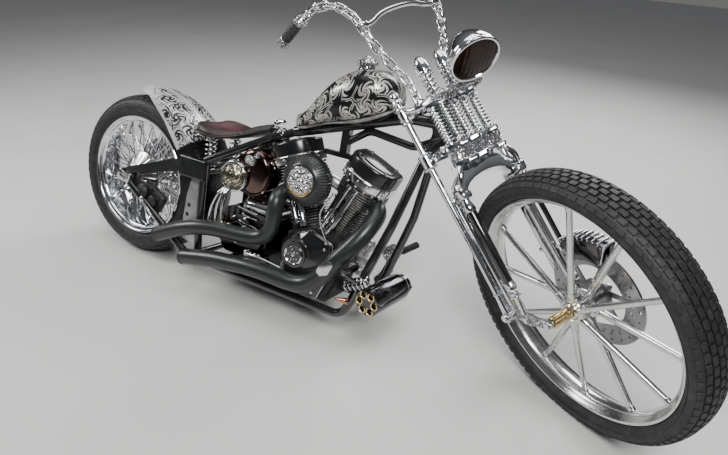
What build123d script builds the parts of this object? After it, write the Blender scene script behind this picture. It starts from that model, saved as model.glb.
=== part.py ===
from build123d import *
import os
from math import sin, cos, acos, radians, sqrt, atan2, degrees, pi

os.makedirs("parts", exist_ok=True)

# Long-fork chopper parked on its side stand, millimetres.
# The bike is drawn upright: X forward from the rear axle, Y to the rider's left, Z up from the ground.
# Fork pieces are drawn beside their steering axis: X ahead of it, Y left, Z up along it.

# Wheels
WHEELBASE = 1800.0
REAR_R = 326.0
REAR_W = 180.0
REAR_LIP_R = 243.0
REAR_LIP_Y = 86.0
FRONT_R = 408.0
FRONT_W = 130.0
FRONT_LIP_R = 346.0
FRONT_LIP_Y = 36.0
# tyre outlines from the rim's seat to the crown: radius, side offset
REAR_OUTLINE = [(232, 76), (244, 76.5), (262, 88), (284, REAR_W / 2), (298, 85), (310, 74), (319, 54),
                (324, 30), (REAR_R, 0)]
FRONT_OUTLINE = [(331, 27), (346.2, 27.5), (346.2, 38), (352, 48), (366, 61), (380, FRONT_W / 2), (392, 57),
                 (400, 42), (406, 22), (FRONT_R, 0)]
AXLE_R = 10.0
AXLE_RUN = 0.05

# Stance
RAKE = 42.0
AXLE_LEAD = 160.0
STEER = -40.0
STEER_RANGE = 80.0
LEAN = 13.5

# Frame
TUBE_R = 15.0
BACKBONE_R = 19.0
GUSSET_R = 13.0
RAIL_Z = 88.0
RAIL_Y = 118.0
STAY_Y = 132.0
POST_X = 398.0
AXLE_PLATE = 6.0
NECK_LOW = 590.0
NECK_HIGH = 706.0
NECK_R = 32.0
STEM_R = 16.0
FOOT_X = 1080.0

# Engine
CRANK_X = 869.0
CRANK_Z = 197.0
CYL_TILT = 22.5
CASE_R = 118.0
CASE_HALF = 62.0
CAM_Y = 108.0
CYL_BASE = 118.0
HEAD_TOP = 392.0
ROCKER_BAND = 26.0
ROCKER_CAP = 38.0
AIR_R = 93.0
AIR_Z = 328.0
PIPE_R = 31.0
REAR_PIPE_R = 29.0

# Gearbox, final drive and oil tank
GEAR_X = 560.0
GEAR_Z = 250.0
GEAR_HALF = 84.0
DRIVE_R = 42.0
SPROCKET_R = 98.0
CHAIN_Y = 108.0
CHAIN_PITCH = 15.875
CHAIN_W = 12.0
CHAIN_H = 12.0
PRIMARY_IN = 116.0
PRIMARY_OUT = 160.0
OIL_X = 592.0
OIL_Z = 481.0
OIL_HALF = 104.0
DOME_X = 524.0
DOME_Z = 453.0

# Fork, all from the steering axis
LEG_Y = 129.0
LEG_X = 14.0
LEG_R = 10.5
LEG_TOP = 789.0
PIVOT_Z = 47.0
TUBE_Y = 102.0
FORK_TUBE_R = 16.0
DAMPER_Y = 113.0
DAMPER_X = 76.0
ARCH_Z = 425.0
LOW_TREE_Z = 562.0
TOP_TREE_Z = 723.0
SPRING_X = 85.0
BANK_LOW = 520.0
BANK_HIGH = 700.0
CAP_TOP = 862.0
LAMP_R = 80.0

# Handlebar chain
LINK_WIRE = 10.0
LINK_PITCH = 34.0
LINK_HALF = 17.0
LINK_EDGE = 2.9
WELD = 0.5

STANDING = (Align.CENTER, Align.CENTER, Align.MIN)


def rod(a, b, r):
    a = Vector(*a)
    b = Vector(*b)
    d = b - a
    return Plane(origin=a, z_dir=d) * Cylinder(r, d.length, align=STANDING)


def tube(points, r, bend):
    path = FilletPolyline(*points, radius=bend)
    start = Vector(*points[0])
    face = Plane(origin=start, z_dir=Vector(*points[1]) - start) * Circle(r)
    return sweep(face, path=path)


def ring(outer, inner, y0, y1):
    body = Cylinder(outer, y1 - y0) - Cylinder(inner, y1 - y0 + 1)
    return Pos(0, (y0 + y1) / 2, 0) * Rot(X=90) * body


def disc(r, y0, y1):
    return Pos(0, (y0 + y1) / 2, 0) * Rot(X=90) * Cylinder(r, y1 - y0)


def block(x0, x1, y0, y1, z0, z1):
    return Pos((x0 + x1) / 2, (y0 + y1) / 2, (z0 + z1) / 2) * Box(x1 - x0, y1 - y0, z1 - z0)


def spun(points):
    # points are radius, side offset, turned about the wheel's own axle
    face = make_face(Polyline(*[(r, 0, y) for r, y in points], close=True))
    return Rot(X=-90) * revolve(face, Axis.Z)


def slab(points, y0, y1):
    # points are fore-aft, height
    face = make_face(Polyline(*[(x, y0, z) for x, z in points], close=True))
    return extrude(face, amount=y1 - y0, dir=(0, 1, 0))


def lobe(a, ra, b, rb, y0, y1):
    # plate whose outline wraps two circles, each given by its fore-aft and height centre
    run = Vector(b[0] - a[0], 0, b[1] - a[1])
    slope = atan2(run.Z, run.X)
    off = acos((ra - rb) / run.length)
    corners = []
    for centre, r, sign in ((a, ra, 1), (b, rb, 1), (b, rb, -1), (a, ra, -1)):
        turn = slope + sign * off
        corners.append((centre[0] + r * cos(turn), centre[1] + r * sin(turn)))
    plate = slab(corners, y0, y1)
    return plate + Pos(a[0], 0, a[1]) * disc(ra, y0, y1) + Pos(b[0], 0, b[1]) * disc(rb, y0, y1)


def spring(r, core, z0, z1, pitch):
    # close-wound spring as one turned solid, a rounded rib for each coil
    turns = max(2, round((z1 - z0) / pitch))
    step = (z1 - z0) / turns
    edge = [(0, z0), (core, z0)]
    for i in range(turns):
        z = z0 + i * step
        edge = edge + [(r, z + step / 2), (core, z + step)]
    edge.append((0, z1))
    return revolve(make_face(Polyline(*[(x, 0, z) for x, z in edge], close=True)), Axis.Z)


def upright(length, width, corner, height):
    # block with rounded upright edges, standing on its base
    return extrude(RectangleRounded(length, width, corner), height)


def mirror_y(shape):
    return mirror(shape, about=Plane.XZ)


def along(t, x, side):
    # point on a cylinder's axis, t from the crank, x ahead of the axis; side is +1 front, -1 rear
    a = radians(CYL_TILT) * side
    return (CRANK_X + t * sin(a) + x * cos(a), CRANK_Z + t * cos(a) - x * sin(a))


bike = {}
fork = {}

# Frame: neck, backbone and gusset
axis_dir = Vector(-sin(radians(RAKE)), 0, cos(radians(RAKE)))
ahead_dir = Vector(cos(radians(RAKE)), 0, sin(radians(RAKE)))
front_axle = Vector(WHEELBASE, 0, FRONT_R)
axis_base = front_axle - ahead_dir * AXLE_LEAD
fork_plane = Plane(origin=axis_base, x_dir=ahead_dir, z_dir=axis_dir)


def on_axis(s):
    p = axis_base + axis_dir * s
    return (p.X, p.Y, p.Z)


neck_bore = rod(on_axis(NECK_LOW - 5), on_axis(NECK_HIGH + 5), STEM_R + AXLE_RUN)
neck = rod(on_axis(NECK_LOW), on_axis(NECK_HIGH), NECK_R)
split = (690, 0, 648)
backbone_points = [on_axis(NECK_HIGH - 56), (1120, 0, 780), (800, 0, 682), split]
backbone = tube(backbone_points, BACKBONE_R, 120)
gusset_points = [on_axis(NECK_LOW + 22), (1155, 0, 692), (985, 0, 712), (900, 0, 652)]
gusset = tube(gusset_points, GUSSET_R, 60)
neck_plate = slab([(1185, 800), (1240, 790), (1270, 755), (1190, 694)], -7, 7)
neck_plate = neck_plate - Pos(1172, 0, 748) * disc(34, -20, 20)
head_mount = block(886, 914, -14, 14, 612, 700) + block(820, 950, -12, 12, 600, 616)
bike["frame_backbone"] = neck + backbone + gusset + neck_plate + head_mount - neck_bore

# Frame: wishbone, junction blocks and axle plates
stay = [(split[0] + 6, 0, split[2] + 1), (620, -22, 616), (540, -70, 566), (POST_X, -STAY_Y + 4, 482)]
upper = tube(stay, TUBE_R, 60)
junction = block(288, POST_X + 14, -STAY_Y - 16, -STAY_Y + 16, 405, 482)
junction = fillet(junction.edges().filter_by(Axis.X), 6)
taper = slab([(292, 470), (292, 418), (16, REAR_R + 19), (16, REAR_R + 46)], -STAY_Y - 11, -STAY_Y + 11)
plate = slab([(-38, REAR_R + 24), (22, REAR_R + 48), (40, REAR_R + 4), (30, REAR_R - 34), (-38, REAR_R - 26)],
             -STAY_Y - AXLE_PLATE, -STAY_Y + AXLE_PLATE)
low_stay = [(10, -STAY_Y, REAR_R - 20), (215, -STAY_Y, 176), (320, -RAIL_Y, 96), (470, -RAIL_Y, RAIL_Z)]
lower = tube(low_stay, TUBE_R, 70)
post = rod((POST_X, -RAIL_Y - 6, RAIL_Z + 6), (POST_X, -STAY_Y - 1, 200), TUBE_R)
post = post + rod((POST_X, -STAY_Y - 1, 200), (POST_X, -STAY_Y - 1, 470), TUBE_R)
side = upper + junction + taper + plate + lower + post
cross_top = rod((POST_X, -STAY_Y, 440), (POST_X, STAY_Y, 440), 13)
cross_low = rod((POST_X, -RAIL_Y, RAIL_Z + 30), (POST_X, RAIL_Y, RAIL_Z + 30), 13)
rear = side + mirror_y(side) + cross_top + cross_low
rear = rear - Pos(0, 0, REAR_R) * disc(AXLE_R, -200, 200) - backbone
bike["frame_rear"] = rear

# Frame: lower cradle
rail = [(470, -RAIL_Y, RAIL_Z), (FOOT_X - 30, -RAIL_Y, RAIL_Z), (FOOT_X, -RAIL_Y - 4, RAIL_Z + 62),
        (1165, -92, 440), (1213, -34, 687), (1257, -14, 742)]
down = tube(rail, TUBE_R, 60)
tie_front = rod((FOOT_X, -RAIL_Y, RAIL_Z + 62), (FOOT_X, RAIL_Y, RAIL_Z + 62), 13)
tie_mid = rod((690, -RAIL_Y, RAIL_Z), (690, RAIL_Y, RAIL_Z), 12)
STAND_X = 1020.0
STAND_Y = 152.0
STAND_LEAD = 70.0
stand_lug = block(STAND_X - 16, STAND_X + 16, RAIL_Y, STAND_Y, RAIL_Z - 14, RAIL_Z + 14)
stand_lug = stand_lug + Pos(STAND_X, STAND_Y, RAIL_Z) * Cylinder(17, 28)
stand_lug = stand_lug - Pos(STAND_X, STAND_Y, RAIL_Z) * Cylinder(6 + AXLE_RUN, 60)
cradle = down + mirror_y(down) + tie_front + tie_mid
cradle = cradle + stand_lug - bike["frame_backbone"] - neck_bore
cradle = cradle - bike["frame_rear"]
bike["frame_cradle"] = cradle

# Rear axle with its nuts
axle = disc(AXLE_R, -STAY_Y - 26, STAY_Y + 26)
axle = axle + disc(19, -STAY_Y - 18, -STAY_Y - 6) + disc(19, STAY_Y + 6, STAY_Y + 18)
bike["rear_axle"] = Pos(0, 0, REAR_R) * axle

# Engine cases: crank drum, cam chest, sump and the two cylinder bases
cases = Pos(CRANK_X, 0, CRANK_Z) * disc(CASE_R, -CASE_HALF, CASE_HALF)
sump = block(CRANK_X - 96, CRANK_X + 96, -CASE_HALF, CASE_HALF, CRANK_Z - 112, CRANK_Z)
cases = cases + fillet(sump.edges().filter_by(Axis.Y), 24)
for side_sign in (-1, 1):
    x, z = along(0, 0, side_sign)
    cases = cases + Pos(x, 0, z) * Rot(Y=CYL_TILT * side_sign) * Cylinder(62, CYL_BASE, align=STANDING)
# cam chest and its cover share one outline, from the crank: fore-aft, height
CAM_OUTLINE = [(-88, 0), (-74, 116), (24, 158), (110, 130), (120, 32), (78, -80), (-16, -92), (-70, -84)]
chest = slab([(CRANK_X + 1.1 * x, CRANK_Z + 1.05 * z) for x, z in CAM_OUTLINE], -CAM_Y, -CASE_HALF)
front_foot = block(CRANK_X + 80, FOOT_X, -24, 24, CRANK_Z - 63, CRANK_Z - 23)
rear_foot = block(680, CRANK_X - 80, -50, 50, CRANK_Z - 101, CRANK_Z - 21)
bike["engine_cases"] = cases + chest + front_foot + rear_foot - bike["frame_cradle"]

# Cam cover: bevelled plate, rounded swell and the ringed timing cover
COVER_X = CRANK_X - 19
COVER_Z = CRANK_Z + 60
cover = slab([(CRANK_X + x, CRANK_Z + z) for x, z in CAM_OUTLINE], -CAM_Y - 20, -CAM_Y)
cover = chamfer(cover.faces().sort_by(Axis.Y)[0].edges(), 7)
swell = Pos(COVER_X, -CAM_Y - 20, COVER_Z) * Rot(X=90) * Cone(74, 56, 18, align=STANDING)
timing = Pos(COVER_X, 0, COVER_Z) * (disc(46, -CAM_Y - 46, -CAM_Y - 38) + disc(36, -CAM_Y - 49, -CAM_Y - 46))
bike["cam_cover"] = cover + swell + timing

# Cylinders: finned barrels and heads, then the rocker boxes, front and rear
FINS = 16
BARREL_FINS = 9
FIN_T = 4.0
for name, side_sign, cap_w in (("front", 1, 104), ("rear", -1, 108)):
    column = Pos(0, 0, CYL_BASE) * Cylinder(56, HEAD_TOP - CYL_BASE, align=STANDING)
    step = (HEAD_TOP - CYL_BASE - 14) / FINS
    for i in range(FINS):
        if i < BARREL_FINS:
            fin = upright(140, 134, 46, FIN_T)
        else:
            fin = upright(152, 144, 24, FIN_T)
        column = column + Pos(0, 0, CYL_BASE + 14 + i * step) * fin
    spot = Pos(CRANK_X, 0, CRANK_Z) * Rot(Y=CYL_TILT * side_sign)
    ahead = block(CRANK_X + 1, CRANK_X + 400, -200, 200, 0, 900)
    behind = block(CRANK_X - 400, CRANK_X - 1, -200, 200, 0, 900)
    keep = ahead if side_sign > 0 else behind
    bike["cylinder_" + name] = ((spot * column) & keep) - bike["engine_cases"]
    band = upright(cap_w + 74, cap_w + 10, 42, ROCKER_BAND)
    cap = upright(cap_w + 66, cap_w, 38, ROCKER_CAP)
    cap = fillet(cap.faces().sort_by(Axis.Z)[-1].edges(), 12)
    ridge = upright(cap_w + 20, cap_w - 56, 22, 5)
    rocker_box = Pos(0, 0, HEAD_TOP) * band + Pos(0, 0, HEAD_TOP + ROCKER_BAND) * cap
    rocker_box = rocker_box + Pos(0, 0, HEAD_TOP + ROCKER_BAND + ROCKER_CAP) * ridge
    bike["rocker_box_" + name] = spot * rocker_box - bike["frame_backbone"]

# Pushrod tubes with their collars and lifter blocks
tubes = []
for side_sign in (-1, 1):
    for foot, head in ((30, 18), (62, 52)):
        x0 = CRANK_X + side_sign * foot
        x1, z1 = along(HEAD_TOP - 2, -side_sign * (78 - head), side_sign)
        low = Vector(x0, -94, CRANK_Z + 155)
        high = Vector(x1, -88, z1)
        mid = low + (high - low) * 0.42
        collar = low + (high - low) * 0.48
        tubes = tubes + [rod(low, high, 7.5), rod(low, mid, 10), rod(mid, collar, 12)]
    x0 = CRANK_X + side_sign * 46
    tubes.append(block(x0 - 40, x0 + 40, -CAM_Y, -78, CRANK_Z + 133, CRANK_Z + 169))
tubes.append(block(CRANK_X - 20, CRANK_X + 20, -CAM_Y, -84, CRANK_Z + 143, CRANK_Z + 165))
rods = tubes[0] + tubes[1:]
rods = rods - bike["engine_cases"] - bike["cylinder_front"] - bike["cylinder_rear"]
bike["pushrod_tubes"] = rods - bike["rocker_box_front"] - bike["rocker_box_rear"]

# Air cleaner: ribbed drum with a round insert, on the carburettor and its manifold
RIBS = 72
rim = []
for i in range(2 * RIBS):
    a = pi * i / RIBS
    r = AIR_R if i % 2 else AIR_R - 3
    rim.append((r * cos(a), r * sin(a)))
drum = slab(rim, -180, -136) + disc(AIR_R - 5, -186, -132) + disc(AIR_R - 30, -190, -186)
insert = disc(54, -196, -190) + disc(40, -199, -196)
bowl = Cylinder(27, 62, align=(Align.CENTER, Align.CENTER, Align.MAX))
carburettor = disc(34, -132, -44) + Pos(0, -88, 0) * bowl + disc(40, -132, -122)
air = Pos(CRANK_X - 8, 0, CRANK_Z + AIR_Z) * (drum + insert + carburettor)
manifold = tube([(CRANK_X - 8, -46, CRANK_Z + AIR_Z), (CRANK_X - 8, -16, CRANK_Z + AIR_Z),
                 (CRANK_X + 8, 0, CRANK_Z + AIR_Z - 26)], 24, 16)
branches = block(CRANK_X - 60, CRANK_X + 60, -24, 20, CRANK_Z + AIR_Z - 46, CRANK_Z + AIR_Z)
air = air + manifold + fillet(branches.edges().filter_by(Axis.X), 16)
air = air - bike["cylinder_front"] - bike["cylinder_rear"] - bike["cam_cover"]
bike["air_cleaner"] = air - bike["rocker_box_front"] - bike["rocker_box_rear"] - bike["pushrod_tubes"]

# Exhaust pipes
front_pipe = [(CRANK_X + 195, -30, 492), (CRANK_X + 247, -88, 454), (CRANK_X + 167, -152, 276),
              (CRANK_X + 108, -170, 182), (CRANK_X - 6, -172, 158), (620, -172, 158), (375, -180, 105)]
pipe = tube(front_pipe, PIPE_R, 45)
around_pipe = tube(front_pipe, PIPE_R + 2, 45)
bike["cam_cover"] = bike["cam_cover"] - around_pipe
bike["engine_cases"] = bike["engine_cases"] - around_pipe
bike["exhaust_front"] = pipe - bike["cylinder_front"] - bike["rocker_box_front"]
rear_pipe = [(716, -60, 490), (728, -134, 476), (744, -136, 400), (738, -136, 320), (670, -138, 262),
             (547, -150, 250), (430, -174, 236), (351, -182, 222), (238, -192, 164)]
pipe = tube(rear_pipe, REAR_PIPE_R, 30)
bike["exhaust_rear"] = pipe - bike["cylinder_rear"] - bike["rocker_box_rear"]

# Gearbox: rounded case with ribs, end cover, output shaft with its toothed wheel, and mounts
case = block(GEAR_X - 90, GEAR_X + 120, -GEAR_HALF, GEAR_HALF - 6, GEAR_Z - 100, GEAR_Z + 80)
case = fillet(case.edges().filter_by(Axis.Y), 34)
gearbox = [case]
for x in (-44, -8, 28, 64):
    rib = block(GEAR_X + x, GEAR_X + x + 6, -GEAR_HALF + 14, GEAR_HALF - 20, GEAR_Z + 76, GEAR_Z + 90)
    gearbox.append(rib)
gearbox.append(lobe((GEAR_X, GEAR_Z + 6), 58, (GEAR_X + 62, GEAR_Z - 22), 44, -GEAR_HALF - 16, -GEAR_HALF))
gearbox.append(Pos(GEAR_X, 0, GEAR_Z + 6) * disc(30, -GEAR_HALF - 24, -GEAR_HALF - 16))
gearbox.append(Pos(GEAR_X, 0, GEAR_Z) * disc(22, GEAR_HALF - 6, PRIMARY_IN))
gearbox.append(Pos(GEAR_X, 0, GEAR_Z) * disc(DRIVE_R, CHAIN_Y - 3, CHAIN_Y + 3))
gearbox.append(block(GEAR_X + 80, GEAR_X + 108, -50, 50, RAIL_Z, GEAR_Z - 90))
gearbox.append(block(GEAR_X - 60, GEAR_X - 30, -RAIL_Y, RAIL_Y, RAIL_Z + 8, RAIL_Z + 40))
gearbox.append(block(GEAR_X - 60, GEAR_X - 30, -40, 40, RAIL_Z + 32, GEAR_Z - 90))
gearbox = gearbox[0] + gearbox[1:]
gearbox = gearbox - bike["frame_cradle"] - bike["frame_rear"]
bike["gearbox"] = gearbox - bike["engine_cases"]

# Primary case on the left: one outline round the crank and the clutch, with a domed clutch cover
clutch = (GEAR_X + 15, GEAR_Z - 12)
primary = lobe(clutch, 98, (CRANK_X + 8, CRANK_Z + 10), 94, PRIMARY_IN, PRIMARY_OUT)
primary = primary + lobe(clutch, 84, (CRANK_X + 8, CRANK_Z + 10), 80, PRIMARY_OUT, PRIMARY_OUT + 8)
primary = primary + Pos(clutch[0], 0, clutch[1]) * disc(60, PRIMARY_OUT + 8, PRIMARY_OUT + 15)
primary = primary + Pos(CRANK_X, 0, CRANK_Z) * disc(72, CASE_HALF, PRIMARY_IN)
bike["primary_case"] = primary

# Oil tank: rounded body across the frame, domed end cover, saddle and three oil lines
body = block(OIL_X - 72, OIL_X + 72, -OIL_HALF, OIL_HALF, OIL_Z - 85, OIL_Z + 85)
body = fillet(body.edges().filter_by(Axis.Y), 50)
body = fillet(body.faces().sort_by(Axis.Y)[0].edges() + body.faces().sort_by(Axis.Y)[-1].edges(), 12)
dome = Sphere(60) & Pos(0, 0, 80) * Box(200, 200, 100)
dome = Pos(DOME_X, -OIL_HALF - 14, DOME_Z) * (Rot(X=90) * Pos(0, 0, -30) * dome)
oil = body + Pos(DOME_X, 0, DOME_Z) * disc(52, -OIL_HALF - 14, -OIL_HALF + 44) + dome
oil = oil + block(OIL_X - 32, OIL_X + 48, -60, 60, GEAR_Z + 70, OIL_Z - 81)
# oil lines: lower end fore-aft and height, upper end's shift
for x, z, foot in ((447, 257, -12), (481, 262, -4), (516, 274, 4)):
    line = [(DOME_X - 42 + foot, -OIL_HALF - 8, DOME_Z - 40), (DOME_X - 50 + foot, -136, DOME_Z - 76),
            (x + 12, -137, z + 60), (x, -138, z)]
    oil = oil + tube(line, 5, 20)
oil = oil - bike["frame_rear"] - bike["gearbox"] - bike["cylinder_rear"] - bike["exhaust_rear"]
bike["oil_tank"] = oil - bike["rocker_box_rear"]

# Fuel tank: section table, x, middle height, width, height, corner radius
TANK = [(702, 690, 54, 50, 20), (790, 738, 140, 110, 46), (880, 796, 196, 164, 68),
        (965, 820, 214, 180, 76), (1030, 830, 176, 150, 64), (1072, 824, 96, 86, 36)]
sections = []
for x, zc, w, h, r in TANK:
    sections.append(Plane(origin=(x, 0, zc), x_dir=(0, 1, 0), z_dir=(1, 0, 0)) * RectangleRounded(w, h, r))
tank = loft(sections)
bike["fuel_tank"] = tank - bike["frame_backbone"] - rod(on_axis(NECK_LOW), on_axis(NECK_HIGH), NECK_R + 4)
cap_spot = Pos(935, 0, 900) * Rot(Y=-6)
filler = Cylinder(27, 24, align=STANDING) + Pos(0, 0, 20) * Cylinder(31, 13, align=STANDING)
filler = filler + Pos(0, 0, 33) * Cone(29, 14, 12, align=STANDING)
bike["gas_cap"] = cap_spot * filler - tank

# Seat: dished pan drawn out to a narrow nose, on two springs and a nose hinge
NOSE_X = 602.0
seat_side = [(298, 566), (430, 566), (520, 600), (NOSE_X, 636), (NOSE_X, 662), (520, 634), (450, 606),
             (390, 594), (346, 600), (312, 618), (298, 612)]
plan_half = [(NOSE_X, 34), (550, 50), (490, 88), (440, 120), (375, 134), (325, 120), (298, 76)]
plan_rim = [(x, -y) for x, y in plan_half] + [(x, y) for x, y in plan_half[::-1]]
plan = make_face(Polyline(*plan_rim, close=True))
bike["seat"] = slab(seat_side, -140, 140) & extrude(plan, amount=900)
coil = spring(24, 17, 0, 104, 15)
springs = Pos(364, -70, 462) * coil + Pos(364, 70, 462) * coil + block(336, 416, -98, 98, 446, 462)
bike["seat_springs"] = springs - bike["seat"] - bike["frame_rear"]
hinge = block(NOSE_X - 4, NOSE_X + 34, -16, 16, 600, 664) + Pos(NOSE_X + 15, 0, 664) * disc(13, -22, 22)
hinge = hinge - bike["seat"] - bike["frame_rear"] - bike["frame_backbone"]
bike["seat_hinge"] = hinge - bike["rocker_box_rear"] - bike["oil_tank"]

# Rear fender: crowned shell over the tyre, cut to its side edge, held by a strut across the frame
FENDER_GAP = 40.0
FENDER_R = REAR_R + FENDER_GAP
SKIRT_Y = 100.0
SHEET = 4.0
side_r = FENDER_R - 20
SKIRT_R = 250.0
inner_y = SKIRT_Y - SHEET
inner_r = side_r - SHEET
outside = ThreePointArc((side_r, 0, -SKIRT_Y), (FENDER_R, 0, 0), (side_r, 0, SKIRT_Y))
inside = ThreePointArc((inner_r, 0, inner_y), (FENDER_R - SHEET, 0, 0), (inner_r, 0, -inner_y))
skirt = Polyline((side_r, 0, SKIRT_Y), (SKIRT_R, 0, SKIRT_Y), (SKIRT_R, 0, inner_y), (inner_r, 0, inner_y))
far_skirt = Polyline((inner_r, 0, -inner_y), (SKIRT_R, 0, -inner_y), (SKIRT_R, 0, -SKIRT_Y),
                     (side_r, 0, -SKIRT_Y))
shell = make_face(Wire(outside.edges() + skirt.edges() + inside.edges() + far_skirt.edges()))
shell = Rot(X=-90) * revolve(shell, Axis.Z)
# side edge of the fender about the axle: degrees above the front, share of the fender's radius
SIDE_EDGE = [(94, 0.99), (80.5, 0.93), (60.5, 0.80), (34.7, 0.743), (13.9, 0.719), (-7.8, 0.721),
             (-23.7, 0.803), (-30.4, 0.951)]
outline = [(FENDER_R * share * cos(radians(a)), FENDER_R * share * sin(radians(a))) for a, share in SIDE_EDGE]
BEYOND = 1.3 * FENDER_R
outline = outline + [(BEYOND * cos(radians(a)), BEYOND * sin(radians(a))) for a in (-30, 0, 30, 60, 94)]
fender = Pos(0, 0, REAR_R) * (shell & slab(outline, -140, 140))
strut = block(290, 384, -STAY_Y, STAY_Y, 430, 450) - Pos(0, 0, REAR_R) * disc(FENDER_R - 8, -150, 150)
fender = fender + strut
bike["rear_fender"] = fender - bike["frame_rear"] - bike["seat"] - bike["seat_springs"]

# Right forward control: bracket, finned master cylinder, pedal and a fluted drum of a footrest
PEG_IN = Vector(1262, -150, 288)
PEG_OUT = Vector(1233, -326, 268)
PEG_R = 33.0
CHAMBERS = 6
peg_plane = Plane(origin=PEG_OUT, z_dir=PEG_IN - PEG_OUT)
peg = Cylinder(PEG_R, (PEG_IN - PEG_OUT).length, align=STANDING)
peg = chamfer(peg.faces().sort_by(Axis.Z)[0].edges(), 2)
for i in range(CHAMBERS):
    a = 2 * pi * i / CHAMBERS
    peg = peg - Pos(21 * cos(a), 21 * sin(a), -1) * Cylinder(7.5, 16, align=STANDING)
    b = a + pi / CHAMBERS
    peg = peg - Pos(41 * cos(b), 41 * sin(b), -1) * Cylinder(12, 90, align=STANDING)
peg = peg_plane * peg
master_plane = Plane(origin=(1064, -150, 214), z_dir=(78, 0, 38))
master = master_plane * spring(20, 16, 0, 84, 16)
bracket = rod((1096, -128, 196), (1205, -152, 262), 13) + rod((1190, -150, 252), PEG_IN, 14)
pedal = rod((1120, -150, 230), (1080, -206, 277), 7) + rod((1080, -206, 277), (1080, -118, 277), 11)
spike = Plane(origin=(1096, -166, 172), z_dir=(-56, 0, -8)) * Cone(10, 2, 56, align=STANDING)
hanger = rod((1096, -166, 172), (1108, -152, 228), 7)
right = bracket + [master, pedal, peg, spike, hanger]
bike["foot_controls_right"] = right - bike["frame_cradle"] - bike["exhaust_front"]

# Left forward control: drum, knurled toe peg on its lever, and the footrest below it
drum = Pos(1086, 0, 270) * (disc(30, 128, 168) + disc(24, 168, 172))
toe = rod((1112, 176, 276), (1146, 240, 302), 11) + rod((1092, 150, 262), (1114, 180, 278), 7)
mount = rod((1088, 124, 190), (1086, 146, 262), 12)
rest = rod((1058, 128, 158), (1044, 262, 160), 16) + rod((1052, 124, 108), (1056, 146, 158), 11)
left = drum + [toe, mount, rest, rod((1060, 140, 160), (1086, 146, 240), 10)]
bike["foot_controls_left"] = left - bike["frame_cradle"]

# Fork frame: stem, two rounded crossbars and both legs of the rigid half
TREE_HALF = LEG_Y + 18
stem = Pos(0, 0, LOW_TREE_Z) * Cylinder(STEM_R, TOP_TREE_Z - LOW_TREE_Z + 39, align=STANDING)
tree = [stem]
for z0, high, reach in ((LOW_TREE_Z - 10, 28, 40), (TOP_TREE_Z - 11, 24, 60)):
    tree.append(Pos(16, 0, z0) * upright(36, 2 * TREE_HALF, 17.5, high))
    tree.append(Pos((reach - 22) / 2, 0, z0) * upright(reach + 22, 60, 14, high))
for y in (-LEG_Y, LEG_Y):
    tree.append(rod((LEG_X, y, PIVOT_Z - 16), (LEG_X, y, LEG_TOP), LEG_R))
    tree.append(Pos(LEG_X, y, LEG_TOP) * Sphere(17))
    tree.append(Pos(LEG_X, y, LEG_TOP - 22) * Cylinder(14, 10))
    tree.append(Pos(LEG_X, 0, PIVOT_Z) * disc(15, y - 11.5, y + 12))
    tree.append(Pos(LEG_X, y, LOW_TREE_Z + 4) * Cylinder(20, 42))
fork["fork_frame"] = tree[0] + tree[1:]

# Inner fork tubes under the tyre arch
inner = None
for y in (-TUBE_Y, TUBE_Y):
    one = rod((16, y, PIVOT_Z), (16, y, ARCH_Z), FORK_TUBE_R)
    inner = one if inner is None else inner + one
arch = Pos(46, 0, ARCH_Z) * upright(102, 2 * TUBE_Y + 40, 16, 34)
inner = inner + fillet(arch.edges().filter_by(Axis.Y), 8)
riser = rod((60, -58, ARCH_Z + 30), (76, -58, BANK_LOW - 10), 9)
inner = inner + riser + mirror_y(riser)
fork["fork_inner_tubes"] = inner - fork["fork_frame"]

# Spring-and-rod dampers between the rockers and the arch
for name, y in (("right", -DAMPER_Y), ("left", DAMPER_Y)):
    one = Pos(0, 0, 147) * Cylinder(15, 60, align=STANDING) + spring(17, 12, 207, ARCH_Z - 50, 15)
    one = Pos(DAMPER_X, y, 0) * one
    one = one + Pos(DAMPER_X, y, ARCH_Z - 50) * Cylinder(16, 50, align=STANDING)
    fork["fork_damper_" + name] = one + rod((DAMPER_X, y, 46), (DAMPER_X, y, 147), 8)

# Bank of springs ahead of the neck
bank = [Pos(79, 0, BANK_LOW - 12) * upright(78, 188, 20, 12)]
bank.append(Pos(79, 0, BANK_HIGH) * upright(78, 188, 20, 11))
for y in (-72, -36, 0, 36, 72):
    bank.append(Pos(SPRING_X, y, 0) * spring(16, 11, BANK_LOW, BANK_HIGH, 12))
bank = bank[0] + bank[1:]
tie = block(20, 60, -12, 12, BANK_LOW - 12, LOW_TREE_Z - 10)
tie = tie + block(40, 60, -12, 12, BANK_HIGH, TOP_TREE_Z - 11)
bullet = Polyline((0, 0, -56), (17, 0, -56), (20, 0, -48), (19, 0, -32), (15, 0, -16), (8, 0, -4), (0, 0, 0),
                  close=True)
caps = None
for y in (-36, 36):
    one = Pos(SPRING_X, y, 0) * spring(19, 13, BANK_HIGH + 11, CAP_TOP - 56, 13)
    one = one + Pos(SPRING_X, y, CAP_TOP) * revolve(make_face(bullet), Axis.Z)
    caps = one if caps is None else caps + one
fork["fork_spring_bank"] = bank + tie + caps - fork["fork_inner_tubes"] - fork["fork_frame"]

# Rockers from the legs to the front axle
rocker = []
for y in (-LEG_Y, LEG_Y):
    inner_y = y - 26 if y > 0 else y + 12
    rocker.append(lobe((LEG_X, PIVOT_Z), 18, (DAMPER_X, 24), 20, inner_y, inner_y + 14))
    rocker.append(lobe((DAMPER_X, 24), 20, (AXLE_LEAD, 0), 24, inner_y, inner_y + 14))
rocker = rocker[0] + rocker[1:]

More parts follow.
